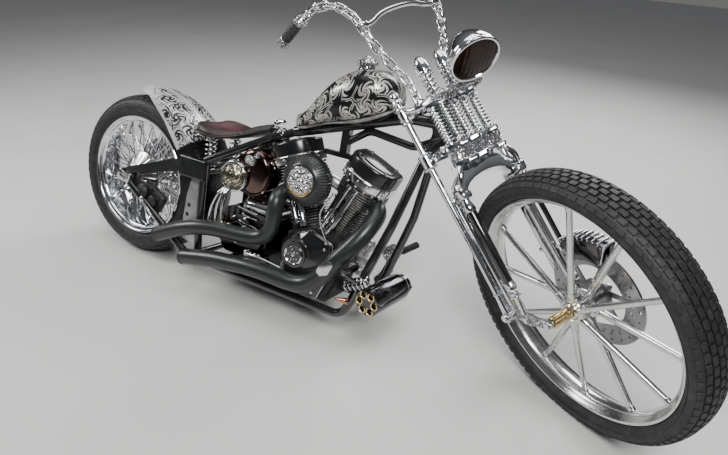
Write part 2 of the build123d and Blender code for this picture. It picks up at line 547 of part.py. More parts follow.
# Front axle with its spacers
front_axle_bar = disc(AXLE_R, -LEG_Y - 22, LEG_Y + 6) + disc(19, -118, -62) + disc(19, 80, 104)
pivots = Pos(LEG_X, 0, PIVOT_Z) * (disc(9, -LEG_Y, -LEG_Y + 14) + disc(9, LEG_Y - 14, LEG_Y))
axle_and_rockers = Pos(AXLE_LEAD, 0, 0) * front_axle_bar + rocker + pivots
axle_and_rockers = axle_and_rockers - fork["fork_frame"] - fork["fork_inner_tubes"]
fork["front_axle_rockers"] = axle_and_rockers - fork["fork_damper_right"] - fork["fork_damper_left"]

# Front brake caliper on the left
caliper = block(118, 236, 56, 92, 130, 200)
caliper = fillet(caliper.edges().filter_by(Axis.Y), 16)
for x, z in ((148, 168), (206, 160)):
    caliper = caliper + Pos(x, 0, z) * disc(22, 92, 98)
caliper = caliper + lobe((130, 159), 13, (DAMPER_X, 159), 16, 92, 104)
slot = Pos(AXLE_LEAD, 0, 0) * disc(171, 66, 80)
fork["front_caliper"] = caliper - slot - fork["fork_damper_left"]

# Headlight
bucket = Wire([Line((0, 0, -4), (LAMP_R - 7, 0, -4)), Line((LAMP_R - 7, 0, -4), (LAMP_R - 5, 0, 0)),
               Line((LAMP_R - 5, 0, 0), (LAMP_R, 0, -5)), Line((LAMP_R, 0, -5), (LAMP_R, 0, -22)),
               ThreePointArc((LAMP_R, 0, -22), (66, 0, -66), (22, 0, -92)), Line((22, 0, -92), (0, 0, -94)),
               Line((0, 0, -94), (0, 0, -4))])
light = revolve(make_face(bucket), Axis.Z)
lamp_plane = Plane(origin=(279, 0, 721), z_dir=(0.47, 0, -0.88))
arm = rod((100, 0, BANK_HIGH + 6), (190, 0, 716), 10) + rod((180, 0, 714), (222, 0, 758), 12)
arm = arm + rod((176, -34, 709), (176, 34, 709), 13)
fork["headlight"] = lamp_plane * light + arm - fork["fork_spring_bank"]

# Handlebar of welded chain links: each link is a wire bent to a long ring, every second one turned
BAR = [(34, 70, 736), (34, 72, 820), (42, 102, 880), (54, 130, 960), (60, 137, 1010), (50, 144, 1062),
       (34, 158, 1108), (8, 188, 1142), (-14, 210, 1156), (-50, 262, 1147)]
bar_path = FilletPolyline(*BAR, radius=20)
links = round(bar_path.length / LINK_PITCH)
pitch_along = bar_path.length / links
straight = pitch_along / 2 + LINK_WIRE + WELD / 2 - LINK_HALF


def stadium(half_straight, r):
    points = []
    for centre, first in ((half_straight, -90), (-half_straight, 90)):
        for i in range(5):
            a = radians(first + 45 * i)
            points.append((centre + r * cos(a), r * sin(a)))
    return Polyline(*points, close=True)


link_face = make_face(stadium(straight, LINK_HALF)) - make_face(stadium(straight, LINK_HALF - LINK_WIRE))
link = Pos(0, 0, -LINK_WIRE / 2) * extrude(link_face, LINK_WIRE)
link = chamfer(link.faces().filter_by(Axis.Z).edges(), LINK_EDGE)
half_bar = []
for i in range(links):
    share = (i + 0.5) / links
    here = bar_path.position_at(share)
    tangent = bar_path.tangent_at(share)
    face_dir = Vector(-tangent.Z, 0, tangent.X)
    if i % 2:
        face_dir = tangent.cross(face_dir)
    half_bar.append(Plane(origin=here, x_dir=tangent, z_dir=face_dir) * link)
foot = Pos(34, 70, TOP_TREE_Z + 13) * Cylinder(17, 9, align=STANDING)
collar_dir = Vector(-110, 47, -5)
collar = Plane(origin=(-50, 262, 1147), z_dir=-collar_dir) * Cylinder(18, 9, align=STANDING)
half_bar = foot + half_bar + [collar]
cross = rod((60, -137, 1020), (60, 137, 1020), 9)
fork["handlebar"] = half_bar + mirror_y(half_bar) + cross - fork["fork_frame"]
grip = rod((-50, 262, 1147), (-160, 309, 1142), 17)
fork["grip_left"] = grip - fork["handlebar"]
fork["grip_right"] = mirror_y(grip) - fork["handlebar"]

# Rear wheel
REAR = Pos(0, 0, REAR_R)
rear_tyre = spun(REAR_OUTLINE + [(r, -y) for r, y in REAR_OUTLINE[-2::-1]])
rear_rim = spun([(REAR_LIP_R, REAR_LIP_Y), (REAR_LIP_R, 76.5), (232, 76), (232, -76), (REAR_LIP_R, -76.5),
                 (REAR_LIP_R, -REAR_LIP_Y), (234, -REAR_LIP_Y), (222, -60), (214, -20), (214, 20), (222, 60),
                 (234, REAR_LIP_Y)])
hub = ring(38, AXLE_R + AXLE_RUN, -112, 116) + ring(50, 20, -58, -52) + ring(50, 20, 46, 52)
for i in range(40):
    a = radians(i * 9)
    y = -55 if i % 2 else 49
    turn = radians(34 if (i // 2) % 2 else -34)
    start = Vector(46 * cos(a), y, 46 * sin(a))
    end = Vector(216 * cos(a + turn * 0.55), y * 0.2, 216 * sin(a + turn * 0.55))
    d = end - start
    hub = hub + Plane(origin=start, z_dir=d) * Box(4.6, 4.6, d.length, align=STANDING)
rear_rotor = ring(146, 88, 60, 66) + ring(54, 38, 60, 66)
for i in range(5):
    rear_rotor = rear_rotor + Rot(Y=72 * i) * lobe((50, 0), 12, (94, 20), 9, 60, 66)
rear_rotor = rear_rotor - disc(38, 50, 80)
TEETH = round(2 * pi * (SPROCKET_R + 9) / CHAIN_PITCH)
edge = []
for i in range(TEETH):
    for part, r in ((0.0, SPROCKET_R - 7), (0.3, SPROCKET_R - 7), (0.5, SPROCKET_R), (0.8, SPROCKET_R)):
        a = 2 * pi * (i + part) / TEETH
        edge.append((r * cos(a), r * sin(a)))
sprocket = slab(edge, CHAIN_Y - 3, CHAIN_Y + 3) + ring(58, 38, 76, CHAIN_Y - 3) - disc(38, 60, 130)
for i in range(5):
    a = 2 * pi * i / 5
    sprocket = sprocket - Pos(72 * cos(a), 0, 72 * sin(a)) * disc(13, CHAIN_Y - 6, CHAIN_Y + 6)
wheel_rear = {"rear_tyre": rear_tyre, "rear_wheel_rim": rear_rim + hub, "rear_rotor": rear_rotor}
wheel_rear["rear_sprocket"] = sprocket

# Front wheel
f_tyre = spun(FRONT_OUTLINE + [(r, -y) for r, y in FRONT_OUTLINE[-2::-1]])
f_rim = spun([(FRONT_LIP_R, FRONT_LIP_Y), (FRONT_LIP_R, 27.5), (331, 27), (331, -27), (FRONT_LIP_R, -27.5),
              (FRONT_LIP_R, -FRONT_LIP_Y), (338, -FRONT_LIP_Y), (322, -16), (318, 0), (322, 16),
              (338, FRONT_LIP_Y)])
SPOKES = 12
SPOKE_PHASE = -2.3
f_hub = ring(30, AXLE_R + AXLE_RUN, -60, 76) + ring(46, 20, -29, -17) + ring(46, 20, 15, 27)
f_hub = f_hub + ring(36, 20, -52, 52)
for i in range(SPOKES):
    a = radians(i * 360 / SPOKES + SPOKE_PHASE)
    y = 21 if i % 2 else -23
    start = Vector(34 * cos(a), y, 34 * sin(a))
    end = Vector(325 * cos(a), y * 0.12, 325 * sin(a))
    spoke = Cone(11, 8.5, (end - start).length, align=STANDING)
    f_hub = f_hub + Plane(origin=start, z_dir=end - start) * spoke
f_rotor = ring(165, 96, 70, 76) + ring(52, 30, 62, 76)
for i in range(6):
    arm = Rot(Y=60 * i) * lobe((44, 0), 12, (104, 30), 9, 70, 76)
    f_rotor = f_rotor + (arm - disc(31, 60, 80))
wheel_front = {"front_tyre": f_tyre, "front_wheel_rim": f_rim + f_hub, "front_rotor": f_rotor}

# Final drive chain: a band of inner plates with the wider outer plate of every second link,
# seated on the gearbox wheel and 3 mm clear of the rear one
run = Vector(GEAR_X, 0, GEAR_Z) - Vector(0, 0, REAR_R)
round_rear = SPROCKET_R + 3 + CHAIN_H / 2
round_gear = DRIVE_R + CHAIN_H / 2
slope = atan2(run.Z, run.X)
wrap = acos((round_rear - round_gear) / run.length)
straight_run = sqrt(run.length ** 2 - (round_rear - round_gear) ** 2)
rear_arc = round_rear * (2 * pi - 2 * wrap)
gear_arc = round_gear * 2 * wrap
whole = rear_arc + gear_arc + 2 * straight_run
pairs = round(whole / CHAIN_PITCH / 2)


def chain_point(s):
    # place and direction on the chain's middle line, s from the top of the rear wheel forwards
    if s < straight_run:
        a = slope + wrap
        return round_rear * cos(a) + s * sin(a), REAR_R + round_rear * sin(a) - s * cos(a), a
    s = s - straight_run
    if s < gear_arc:
        a = slope + wrap - s / round_gear
        return GEAR_X + round_gear * cos(a), GEAR_Z + round_gear * sin(a), a
    s = s - gear_arc
    if s < straight_run:
        a = slope - wrap
        return GEAR_X + round_gear * cos(a) + s * sin(a), GEAR_Z + round_gear * sin(a) - s * cos(a), a
    a = slope - wrap - (s - straight_run) / round_rear
    return round_rear * cos(a), REAR_R + round_rear * sin(a), a


def chain_loop(offset):
    return lobe((0, REAR_R), round_rear + offset, (GEAR_X, GEAR_Z), round_gear + offset,
                CHAIN_Y - CHAIN_W / 2 + 2, CHAIN_Y + CHAIN_W / 2 - 2)


plate_half = CHAIN_PITCH / 2
PLATE_TIP = 5.0
plate_end = plate_half + PLATE_TIP
plate_outline = [(-plate_half, -CHAIN_H / 2), (plate_half, -CHAIN_H / 2), (plate_end, -3), (plate_end, 3),
                 (plate_half, CHAIN_H / 2), (-plate_half, CHAIN_H / 2), (-plate_end, 3), (-plate_end, -3)]
link_plate = slab(plate_outline, -CHAIN_W / 2, CHAIN_W / 2)
plates = []
for i in range(pairs):
    x, z, a = chain_point(whole * i / pairs)
    plates.append(Pos(x, CHAIN_Y, z) * Rot(Y=90 - degrees(a)) * link_plate)
chain = chain_loop(CHAIN_H / 2 - 1.5) - chain_loop(1.5 - CHAIN_H / 2) + plates
bike["drive_chain"] = chain - bike["gearbox"]

# Rear brake caliper on the left, held by the upper stay
pads = block(104, 164, 52, 76, REAR_R - 40, REAR_R + 10) + block(130, 164, 76, 121, REAR_R - 26, REAR_R - 2)
pads = fillet(pads.edges().filter_by(Axis.Y), 3) + block(130, 164, 117, 121, REAR_R - 26, 400)
bike["rear_caliper"] = pads - Pos(0, 0, REAR_R) * disc(151, 57, 69) - bike["frame_rear"]

# Side stand: leg from its lug down to the ground on the left
STAND_PIVOT = (STAND_X, STAND_Y, RAIL_Z)

# Placement: lean about the rear axle's own line, pitch so that both tyres meet the ground


def place(lean, pitch, height):
    return Pos(0, 0, height) * Rot(X=-lean) * Rot(Y=pitch) * Pos(0, 0, -REAR_R)


def low_point(location, centre, side_dir, outline):
    c = location * Pos(*centre)
    tip = location * Pos(centre[0] + side_dir[0], centre[1] + side_dir[1], centre[2] + side_dir[2])
    az = tip.position.Z - c.position.Z
    return c.position.Z - max(r * sqrt(1 - az * az) + abs(y * az) for r, y in outline)


steer_turn = fork_plane.location * Rot(Z=STEER)
wheel_spot = (steer_turn * Pos(AXLE_LEAD, 0, 0)).position
wheel_side = (steer_turn * Pos(AXLE_LEAD, 1, 0)).position
front_side = (wheel_side.X - wheel_spot.X, wheel_side.Y - wheel_spot.Y, wheel_side.Z - wheel_spot.Z)
wheel_spot = (wheel_spot.X, wheel_spot.Y, wheel_spot.Z)
pitch = 0.0
for i in range(30):
    here = place(LEAN, pitch, 0)
    rear_low = low_point(here, (0, 0, REAR_R), (0, 1, 0), REAR_OUTLINE)
    front_low = low_point(here, wheel_spot, front_side, FRONT_OUTLINE)
    pitch = pitch - degrees((rear_low - front_low) / WHEELBASE)
STANCE = place(LEAN, pitch, -rear_low)
print("pitch", pitch, "drop", rear_low, front_low)

# Side stand leg, its foot set on the ground of the leaning bike
ground = STANCE.inverse()
foot_guess = STANCE * Pos(STAND_X + STAND_LEAD, 335, 90)
foot_spot = (ground * Pos(foot_guess.position.X, foot_guess.position.Y, 6)).position
leg = rod((STAND_X, STAND_Y, RAIL_Z - 26), (foot_spot.X, foot_spot.Y, foot_spot.Z), 9)
head = Pos(STAND_X, STAND_Y, RAIL_Z - 25) * Cylinder(16, 21)
pin = Pos(STAND_X, STAND_Y, RAIL_Z - 20) * Cylinder(6, 35, align=STANDING)
pin = pin + Pos(STAND_X, STAND_Y, RAIL_Z + 14.5) * Cylinder(11, 6, align=STANDING)
leg = leg + head + pin
foot_plate = Pos(foot_guess.position.X, foot_guess.position.Y, 3) * Box(60, 34, 6)
stand = leg + ground * foot_plate
under = ground * Pos(foot_guess.position.X, foot_guess.position.Y, -20) * Box(400, 400, 40)
bike["side_stand"] = stand - under

placed = {}
for name, shape in bike.items():
    placed[name] = STANCE * shape
for name, shape in wheel_rear.items():
    placed[name] = STANCE * REAR * shape
for name, shape in fork.items():
    placed[name] = STANCE * steer_turn * shape
for name, shape in wheel_front.items():
    placed[name] = STANCE * steer_turn * Pos(AXLE_LEAD, 0, 0) * shape

lo = [1e9, 1e9, 1e9]
hi = [-1e9, -1e9, -1e9]
for name, shape in placed.items():
    b = shape.bounding_box()
    lo = [min(lo[0], b.min.X), min(lo[1], b.min.Y), min(lo[2], b.min.Z)]
    hi = [max(hi[0], b.max.X), max(hi[1], b.max.Y), max(hi[2], b.max.Z)]
SHIFT = Pos(-(lo[0] + hi[0]) / 2, -(lo[1] + hi[1]) / 2, 0)
print("size", hi[0] - lo[0], hi[1] - lo[1], lo[2], hi[2])
for name, shape in placed.items():
    solids = shape.solids()
    print(name, len(solids), round(sum(s.volume for s in solids) / 1e3), "cm3")
    export_step(SHIFT * shape, "parts/" + name + ".step")


def report(label, location, direction):
    p = SHIFT * location
    tip = (SHIFT * location * Pos(*direction)).position
    o = p.position
    print("PLACE", label, o.X, o.Y, o.Z, tip.X - o.X, tip.Y - o.Y, tip.Z - o.Z)


report("rear_axle", STANCE * REAR, (0, 1, 0))
report("steering", STANCE * fork_plane.location * Pos(0, 0, 650), (0, 0, 1))
report("front_axle", STANCE * steer_turn * Pos(AXLE_LEAD, 0, 0), (0, 1, 0))
report("bike_origin", STANCE, (1, 0, 0))
report("side_stand", STANCE * Pos(*STAND_PIVOT), (0, 0, 1))
grip_mid = Pos(-105, 285.5, 1144.5)
grip_out = (-110, 47, -5)
size_out = sqrt(sum(v * v for v in grip_out))
grip_out = tuple(v / size_out for v in grip_out)
report("grip_left", STANCE * steer_turn * grip_mid, grip_out)
grip_mid = Pos(-105, -285.5, 1144.5)
report("grip_right", STANCE * steer_turn * grip_mid, (grip_out[0], -grip_out[1], grip_out[2]))
report("bar_window", STANCE * steer_turn * Pos(48, 0, 925), (0, 0, 1))
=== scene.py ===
"""Long-fork chopper parked on its side stand: finishes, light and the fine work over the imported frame."""
import math

import bmesh
import bpy
from mathutils import Matrix, Vector


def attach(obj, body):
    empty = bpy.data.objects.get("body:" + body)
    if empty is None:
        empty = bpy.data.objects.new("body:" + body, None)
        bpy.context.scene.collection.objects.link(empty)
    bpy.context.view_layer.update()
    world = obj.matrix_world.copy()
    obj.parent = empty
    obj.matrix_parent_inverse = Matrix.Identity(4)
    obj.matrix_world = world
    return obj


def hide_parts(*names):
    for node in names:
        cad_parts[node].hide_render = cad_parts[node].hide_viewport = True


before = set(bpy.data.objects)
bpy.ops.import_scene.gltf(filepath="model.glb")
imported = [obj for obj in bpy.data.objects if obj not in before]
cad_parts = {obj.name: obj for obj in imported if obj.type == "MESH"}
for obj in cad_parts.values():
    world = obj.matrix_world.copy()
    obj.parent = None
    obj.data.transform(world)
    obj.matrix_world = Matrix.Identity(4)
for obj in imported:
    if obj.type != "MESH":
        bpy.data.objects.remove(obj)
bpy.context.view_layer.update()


# The bike's own frames. Inside each of them the numbers are millimetres.
def shift(x, y, z):
    """Matrix that moves."""
    return Matrix.Translation((x, y, z))


def turn(degrees, axis):
    """Matrix that turns about one axis."""
    return Matrix.Rotation(math.radians(degrees), 4, axis)


AXLE_HEIGHT, LEAN_ANGLE, NOSE_DROP, RAKE, BARS_TURNED, AXLE_LEAD = 326, 13.5, 0.0885344, 42, 40, 160
LEAN = shift(-0.9088882, -0.0994945, 0.3227921) @ turn(-LEAN_ANGLE, "X") @ turn(NOSE_DROP, "Y")
BIKE = LEAN @ Matrix.Scale(0.001, 4) @ shift(0, 0, -AXLE_HEIGHT)
REAR_WHEEL = BIKE @ shift(0, 0, AXLE_HEIGHT)
FORK = BIKE @ shift(1681.097, 0, 300.939) @ turn(-RAKE, "Y") @ turn(-BARS_TURNED, "Z")
FRONT_WHEEL = FORK @ shift(AXLE_LEAD, 0, 0)
ACROSS = turn(-90, "X")
CRANK, HALF_V = (869, 197), 22.5
FRONT_CYLINDER = BIKE @ shift(CRANK[0], 0, CRANK[1]) @ turn(HALF_V, "Y")
REAR_CYLINDER = BIKE @ shift(CRANK[0], 0, CRANK[1]) @ turn(-HALF_V, "Y")
AIR_X, AIR_Z = CRANK[0] - 8, CRANK[1] + 328


# Camera at the photograph's place
def aim_camera():
    heading, dip, tilt = (math.radians(v) for v in (117.94, -28.29, 3.45))
    ahead = Vector((math.cos(dip) * math.cos(heading), math.cos(dip) * math.sin(heading), math.sin(dip)))
    level = ahead.cross(Vector((0, 0, 1))).normalized()
    above = level.cross(ahead)
    right = level * math.cos(tilt) + above * math.sin(tilt)
    up = above * math.cos(tilt) - level * math.sin(tilt)
    lens = bpy.data.cameras.new("viewpoint")
    lens.sensor_width = 36
    lens.lens = 28.37
    lens.clip_start = 0.05
    camera = bpy.data.objects.new("viewpoint", lens)
    camera.matrix_world = shift(0.9437, -1.6493, 1.3247) @ Matrix((right, up, -ahead)).transposed().to_4x4()
    bpy.context.scene.collection.objects.link(camera)
    bpy.context.scene.camera = camera


aim_camera()


class Finish:
    """A shader and the nodes that give it grain, colour and wear."""

    def __init__(self, name, colour, metallic=0.0, roughness=0.5, **values):
        self.material = bpy.data.materials.new(name)
        self.material.use_nodes = True
        self.tree = self.material.node_tree
        self.shader = self.tree.nodes["Principled BSDF"]
        self.set(Base_Color=colour, Metallic=metallic, Roughness=roughness, **values)

    def plug(self, socket, value):
        """Links a node's output to the socket, or sets the socket's own value."""
        if isinstance(value, bpy.types.NodeSocket):
            self.tree.links.new(value, socket)
        elif isinstance(value, tuple) and len(value) == 3 and socket.type == "RGBA":
            socket.default_value = (*value, 1)
        else:
            socket.default_value = value

    def fill(self, node, values):
        for key, value in values.items():
            self.plug(node.inputs[key.replace("_", " ") if isinstance(key, str) else key], value)

    def set(self, **values):
        self.fill(self.shader, values)
        return self

    def node(self, kind, output=0, settings=(), **values):
        node = self.tree.nodes.new("ShaderNode" + kind)
        for key, value in settings:
            setattr(node, key, value)
        self.fill(node, values)
        return node.outputs[output]

    def place(self, within=None):
        """Object coordinates, or millimetres in one of the bike's own frames."""
        here = self.node("TexCoord", "Object")
        if within is None:
            return here
        back = within.inverted()
        return self.node("Mapping", 0, Vector=here, Location=back.to_translation(), Scale=(1000, 1000, 1000),
            Rotation=back.to_3x3().normalized().to_euler())

    def noise(self, scale, detail=3.0, distortion=0.0, at=None):
        return self.node("TexNoise", 0, Scale=scale, Detail=detail, Distortion=distortion, Vector=at or self.place())

    def cells(self, scale, output="Distance", feature="F1", at=None, dimensions="3D"):
        settings = (("feature", feature), ("voronoi_dimensions", dimensions))
        return self.node("TexVoronoi", output, settings, Scale=scale, Vector=at or self.place())

    def plain_node(self, kind, values, settings=()):
        """A node whose first inputs are filled in their own order."""
        node = self.tree.nodes.new("ShaderNode" + kind)
        for key, value in settings:
            setattr(node, key, value)
        for socket, value in zip(node.inputs, values):
            self.plug(socket, value)
        return node.outputs

    def sum(self, operation, a, b=0.0, c=0.0):
        return self.plain_node("Math", (a, b, c), (("operation", operation),))[0]

    def vector(self, operation, a, b=(0, 0, 0), output=0):
        return self.plain_node("VectorMath", (a, b), (("operation", operation),))[output]

    def parts(self, vector):
        return self.plain_node("SeparateXYZ", (vector,))

    def point(self, x, y, z=0.0):
        return self.plain_node("CombineXYZ", (x, y, z))[0]

    def between(self, value, low, high, to_low=0.0, to_high=1.0):
        return self.plain_node("MapRange", (value, low, high, to_low, to_high))[0]

    def blend(self, share, a, b):
        node = self.tree.nodes.new("ShaderNodeMix")
        node.data_type = "RGBA"
        self.fill(node, {0: share, 6: a, 7: b})
        return node.outputs[2]

    def length(self, a, b):
        """Length of the line whose two sides are a and b."""
        return self.sum("SQRT", self.sum("ADD", self.sum("MULTIPLY", a, a), self.sum("MULTIPLY", b, b)))

    def relief(self, height, depth=0.001, strength=0.5, over=None):
        values = {"Height": height, "Distance": depth, "Strength": strength}
        if over is not None:
            values["Normal"] = over
        return self.node("Bump", 0, **values)

    def dull(self, scale, detail, low, high):
        """Roughness that wanders between two values."""
        self.set(Roughness=self.between(self.noise(scale, detail), 0.3, 0.7, low, high))

    def grain(self, scale, detail, depth, strength):
        """Fine relief all over."""
        self.set(Normal=self.relief(self.noise(scale, detail), depth, strength))


def enamel(name, colour, roughness=0.16, coat=0.6):
    """Gloss paint under a clear coat, with a little dust."""
    made = Finish(name, colour, 0.0, roughness, Coat_Weight=coat, Coat_Roughness=0.05)
    dust = made.noise(7, 5)
    made.set(Base_Color=made.blend(made.between(dust, 0.45, 0.8), colour, tuple(v + 0.018 for v in colour)))
    made.dull(40, 4, roughness - 0.04, roughness + 0.1)
    made.grain(420, 2, 0.0004, 0.25)
    return made


def plating(name, colour, shine=0.05, wear=0.07):
    """Polished metal with fine wiping marks."""
    made = Finish(name, colour, 1.0, shine)
    darker = tuple(v * 0.86 for v in colour)
    made.set(Base_Color=made.blend(made.between(made.noise(18, 4), 0.35, 0.65), colour, darker))
    fine = made.noise(1, 6, at=made.vector("MULTIPLY", made.place(), (60, 60, 700)))
    made.set(Roughness=made.between(fine, 0.3, 0.75, shine, shine + wear))
    made.grain(90, 2, 0.0006, 0.12)
    return made


def engraved(name, colour, size=95, depth=0.0012):
    """Plating cut with flowing lines, dark in the cuts."""
    made = Finish(name, colour, 1.0, 0.08)
    at = made.place()
    sway = made.vector("MULTIPLY", made.node("TexNoise", 1, Scale=size * 0.6, Vector=at), (0.012, 0.012, 0.012))
    bent = made.vector("ADD", at, sway)
    edge = made.cells(size, feature="DISTANCE_TO_EDGE", at=bent)
    rings = made.node("TexWave", 1, (("wave_type", "RINGS"), ("rings_direction", "SPHERICAL")), Scale=size * 0.8,
        Distortion=9.0, Detail=2.0, Vector=at)
    cut = made.sum("MINIMUM", made.between(edge, 0.02, 0.14), made.between(rings, 0.1, 0.45))
    made.set(Base_Color=made.blend(cut, tuple(v * 0.16 for v in colour), colour))
    made.set(Roughness=made.between(cut, 0, 1, 0.35, 0.07), Normal=made.relief(cut, depth, 0.8))
    return made


def cast(name, colour, metallic, roughness, grain=900, depth=0.0005):
    """Cast or moulded skin with an even grain."""
    made = Finish(name, colour, metallic, roughness)
    made.set(Base_Color=made.blend(made.between(made.noise(30, 5), 0.3, 0.75), colour,
        tuple(v * 1.45 for v in colour)))
    made.dull(80, 3, roughness - 0.08, roughness + 0.1)
    made.grain(grain, 3, depth, 0.45)
    return made


frame_enamel = enamel("frame_enamel", (0.008, 0.009, 0.010))
cover_enamel = enamel("cover_enamel", (0.009, 0.0095, 0.010), 0.12, 0.8)
chrome = plating("chrome_plating", (0.82, 0.83, 0.85))
smoked_chrome = plating("smoked_chrome", (0.115, 0.108, 0.118), 0.1)
bright_alloy = plating("bright_alloy", (0.74, 0.74, 0.73), 0.13, 0.16)
brass = plating("brass", (0.84, 0.64, 0.30), 0.12, 0.1)
copper = plating("copper", (0.62, 0.27, 0.17), 0.18, 0.15)
cut_gilt = engraved("cut_gilt", (0.66, 0.62, 0.48), 34, 0.0008)
cut_chrome = engraved("cut_chrome", (0.80, 0.81, 0.83))
case_black = cast("case_black", (0.014, 0.0145, 0.015), 0.0, 0.42)
case_alloy = cast("case_alloy", (0.36, 0.36, 0.355), 0.9, 0.38)
matt_black = cast("matt_black", (0.010, 0.010, 0.011), 0.0, 0.6)
grip_rubber = cast("grip_rubber", (0.020, 0.021, 0.021), 0.0, 0.5, 500, 0.0008)


def make_pipe_black():
    """Satin black pipes, a little greyer and duller towards their open ends."""
    made = Finish("pipe_black", (0.016, 0.019, 0.019), 0.0, 0.36, Coat_Weight=0.15)
    rear = made.between(made.parts(made.place(BIKE))[0], 250, 700, 1.0, 0.0)
    soot = made.sum("MULTIPLY", rear, made.noise(22, 5))
    made.set(Base_Color=made.blend(soot, (0.014, 0.017, 0.017), (0.036, 0.037, 0.035)))
    made.dull(60, 4, 0.28, 0.42)
    made.grain(1400, 2, 0.0003, 0.35)
    return made


def make_tyre_rubber():
    made = Finish("tyre_rubber", (0.014, 0.014, 0.015), 0.0, 0.62)
    dust = made.between(made.noise(35, 6), 0.5, 0.85)
    made.set(Base_Color=made.blend(dust, (0.013, 0.0135, 0.014), (0.042, 0.040, 0.037)))
    made.dull(120, 4, 0.52, 0.72)
    made.grain(1500, 3, 0.0004, 0.4)
    return made


def make_fins(name, within):
    """Black fins whose outer rims are ground bright."""
    made = Finish(name, (0.012, 0.012, 0.013), 0.0, 0.4)
    x, y, _ = made.parts(made.place(within))
    out = made.length(x, y)
    axis = within.to_3x3().col[2].normalized()
    facing = made.vector("DOT_PRODUCT", made.node("TexCoord", "Normal"), tuple(axis), 1)
    rim = made.sum("MULTIPLY", made.between(out, 60, 62), made.between(made.sum("ABSOLUTE", facing), 0.35, 0.2))
    worn = made.sum("MULTIPLY", rim, made.between(made.noise(60, 3), 0.3, 0.55, 0.55, 1.0))
    made.set(Base_Color=made.blend(worn, (0.011, 0.011, 0.012), (0.40, 0.39, 0.37)), Metallic=worn)
    made.set(Roughness=made.between(worn, 0, 1, 0.42, 0.2))
    made.grain(1100, 3, 0.0004, 0.35)
    return made


def make_rocker(name, within):
    """Glossy black lid over a chrome band."""
    made = Finish(name, (0.01, 0.01, 0.011), 0.0, 0.12, Coat_Roughness=0.04)
    z = made.parts(made.place(within))[2]
    lid = made.between(z, 401.5, 402.5)
    speck = made.between(made.noise(30, 4), 0.3, 0.7, 0.7, 0.85)
    steel_tone = made.node("CombineColor", 0, Red=speck, Green=speck, Blue=speck)
    made.set(Base_Color=made.blend(lid, steel_tone, (0.009, 0.0095, 0.010)))
    made.set(Metallic=made.sum("SUBTRACT", 1.0, lid), Coat_Weight=made.sum("MULTIPLY", lid, 0.25))
    made.set(Roughness=made.sum("MULTIPLY_ADD", lid, 0.10, made.between(made.noise(50, 4), 0.3, 0.7, 0.07, 0.14)))
    made.grain(300, 2, 0.0003, 0.08)
    return made


def leafwork(made, across, along, size, seed, full):
    """Curled leaves in a bent grid, joined by thin stems: 1 where a leaf is, 0 on the ground."""
    flat = made.point(made.sum("ADD", across, seed), along)
    wander = made.node("TexNoise", 1, (("noise_dimensions", "2D"),), Scale=0.8 / size, Detail=1.0, Vector=flat)
    wander = made.vector("MULTIPLY", made.vector("SUBTRACT", wander, (0.5, 0.5, 0.5)), (size * 0.45,) * 3)
    bent = made.vector("ADD", flat, wander)
    settings = (("voronoi_dimensions", "2D"), ("feature", "F1"))
    cell = made.node("TexVoronoi", "Position", settings, Scale=1 / size, Randomness=0.8, Vector=bent)
    own = made.vector("SUBTRACT", bent, cell)
    x, y, _ = made.parts(own)
    tint = made.parts(cell.node.outputs["Color"])
    hand = made.between(tint[0], 0.49, 0.51, -1.0, 1.0)
    far = made.sum("DIVIDE", made.vector("LENGTH", own, output=1), size)
    angle = made.sum("DIVIDE", made.sum("ARCTAN2", made.sum("MULTIPLY", y, hand), x), 2 * math.pi)
    angle = made.sum("ADD", made.sum("ADD", angle, tint[1]), made.sum("MULTIPLY", far, 0.75))
    lobes = made.sum("SINE", made.sum("MULTIPLY", angle, 2 * math.pi * 5))
    small = made.sum("SINE", made.sum("MULTIPLY", angle, 2 * math.pi * 15))
    reach = made.sum("ADD", made.sum("MULTIPLY", lobes, 0.18), made.sum("MULTIPLY_ADD", small, 0.02, full))
    leaf = made.between(made.sum("SUBTRACT", reach, far), -0.015, 0.02)
    rib = made.sum("ABSOLUTE", made.sum("COSINE", made.sum("MULTIPLY", angle, 2 * math.pi * 5)))
    rib = made.sum("MAXIMUM", made.between(rib, 0.02, 0.09), made.between(lobes, 0.3, 0.1))
    rib = made.sum("MAXIMUM", rib, made.between(far, 0.10, 0.07))
    eye = made.between(made.sum("ABSOLUTE", made.sum("SUBTRACT", far, 0.085)), 0.012, 0.03)
    edge = made.cells(1 / size, feature="DISTANCE_TO_EDGE", at=bent, dimensions="2D")
    stem = made.between(made.sum("ABSOLUTE", made.sum("SUBTRACT", edge, 0.055)), 0.03, 0.016)
    stem = made.sum("MULTIPLY", stem, made.between(made.noise(1.1 / size, 1, at=flat), 0.42, 0.46))
    return made.sum("MAXIMUM", made.sum("MULTIPLY", leaf, made.sum("MULTIPLY", rib, eye)), stem)


def paint_leafwork(made, leaf, silver_light, silver_dark):
    """Silver leaf where the mask is 1, black ground elsewhere, under one clear coat."""
    shade = made.between(made.noise(14, 4), 0.3, 0.7)
    flake = made.between(made.noise(2500, 1), 0.35, 0.65, -0.04, 0.04)
    silver = made.blend(made.sum("ADD", shade, flake), silver_light, silver_dark)
    made.set(Base_Color=made.blend(leaf, (0.006, 0.006, 0.007), silver))
    made.set(Metallic=made.between(leaf, 0, 1, 0.0, 0.35))
    made.set(Roughness=made.between(made.noise(45, 3), 0.3, 0.7, 0.24, 0.34), Specular_IOR_Level=0.3)
    made.set(Normal=made.relief(leaf, 0.00025, 0.25))
    return made


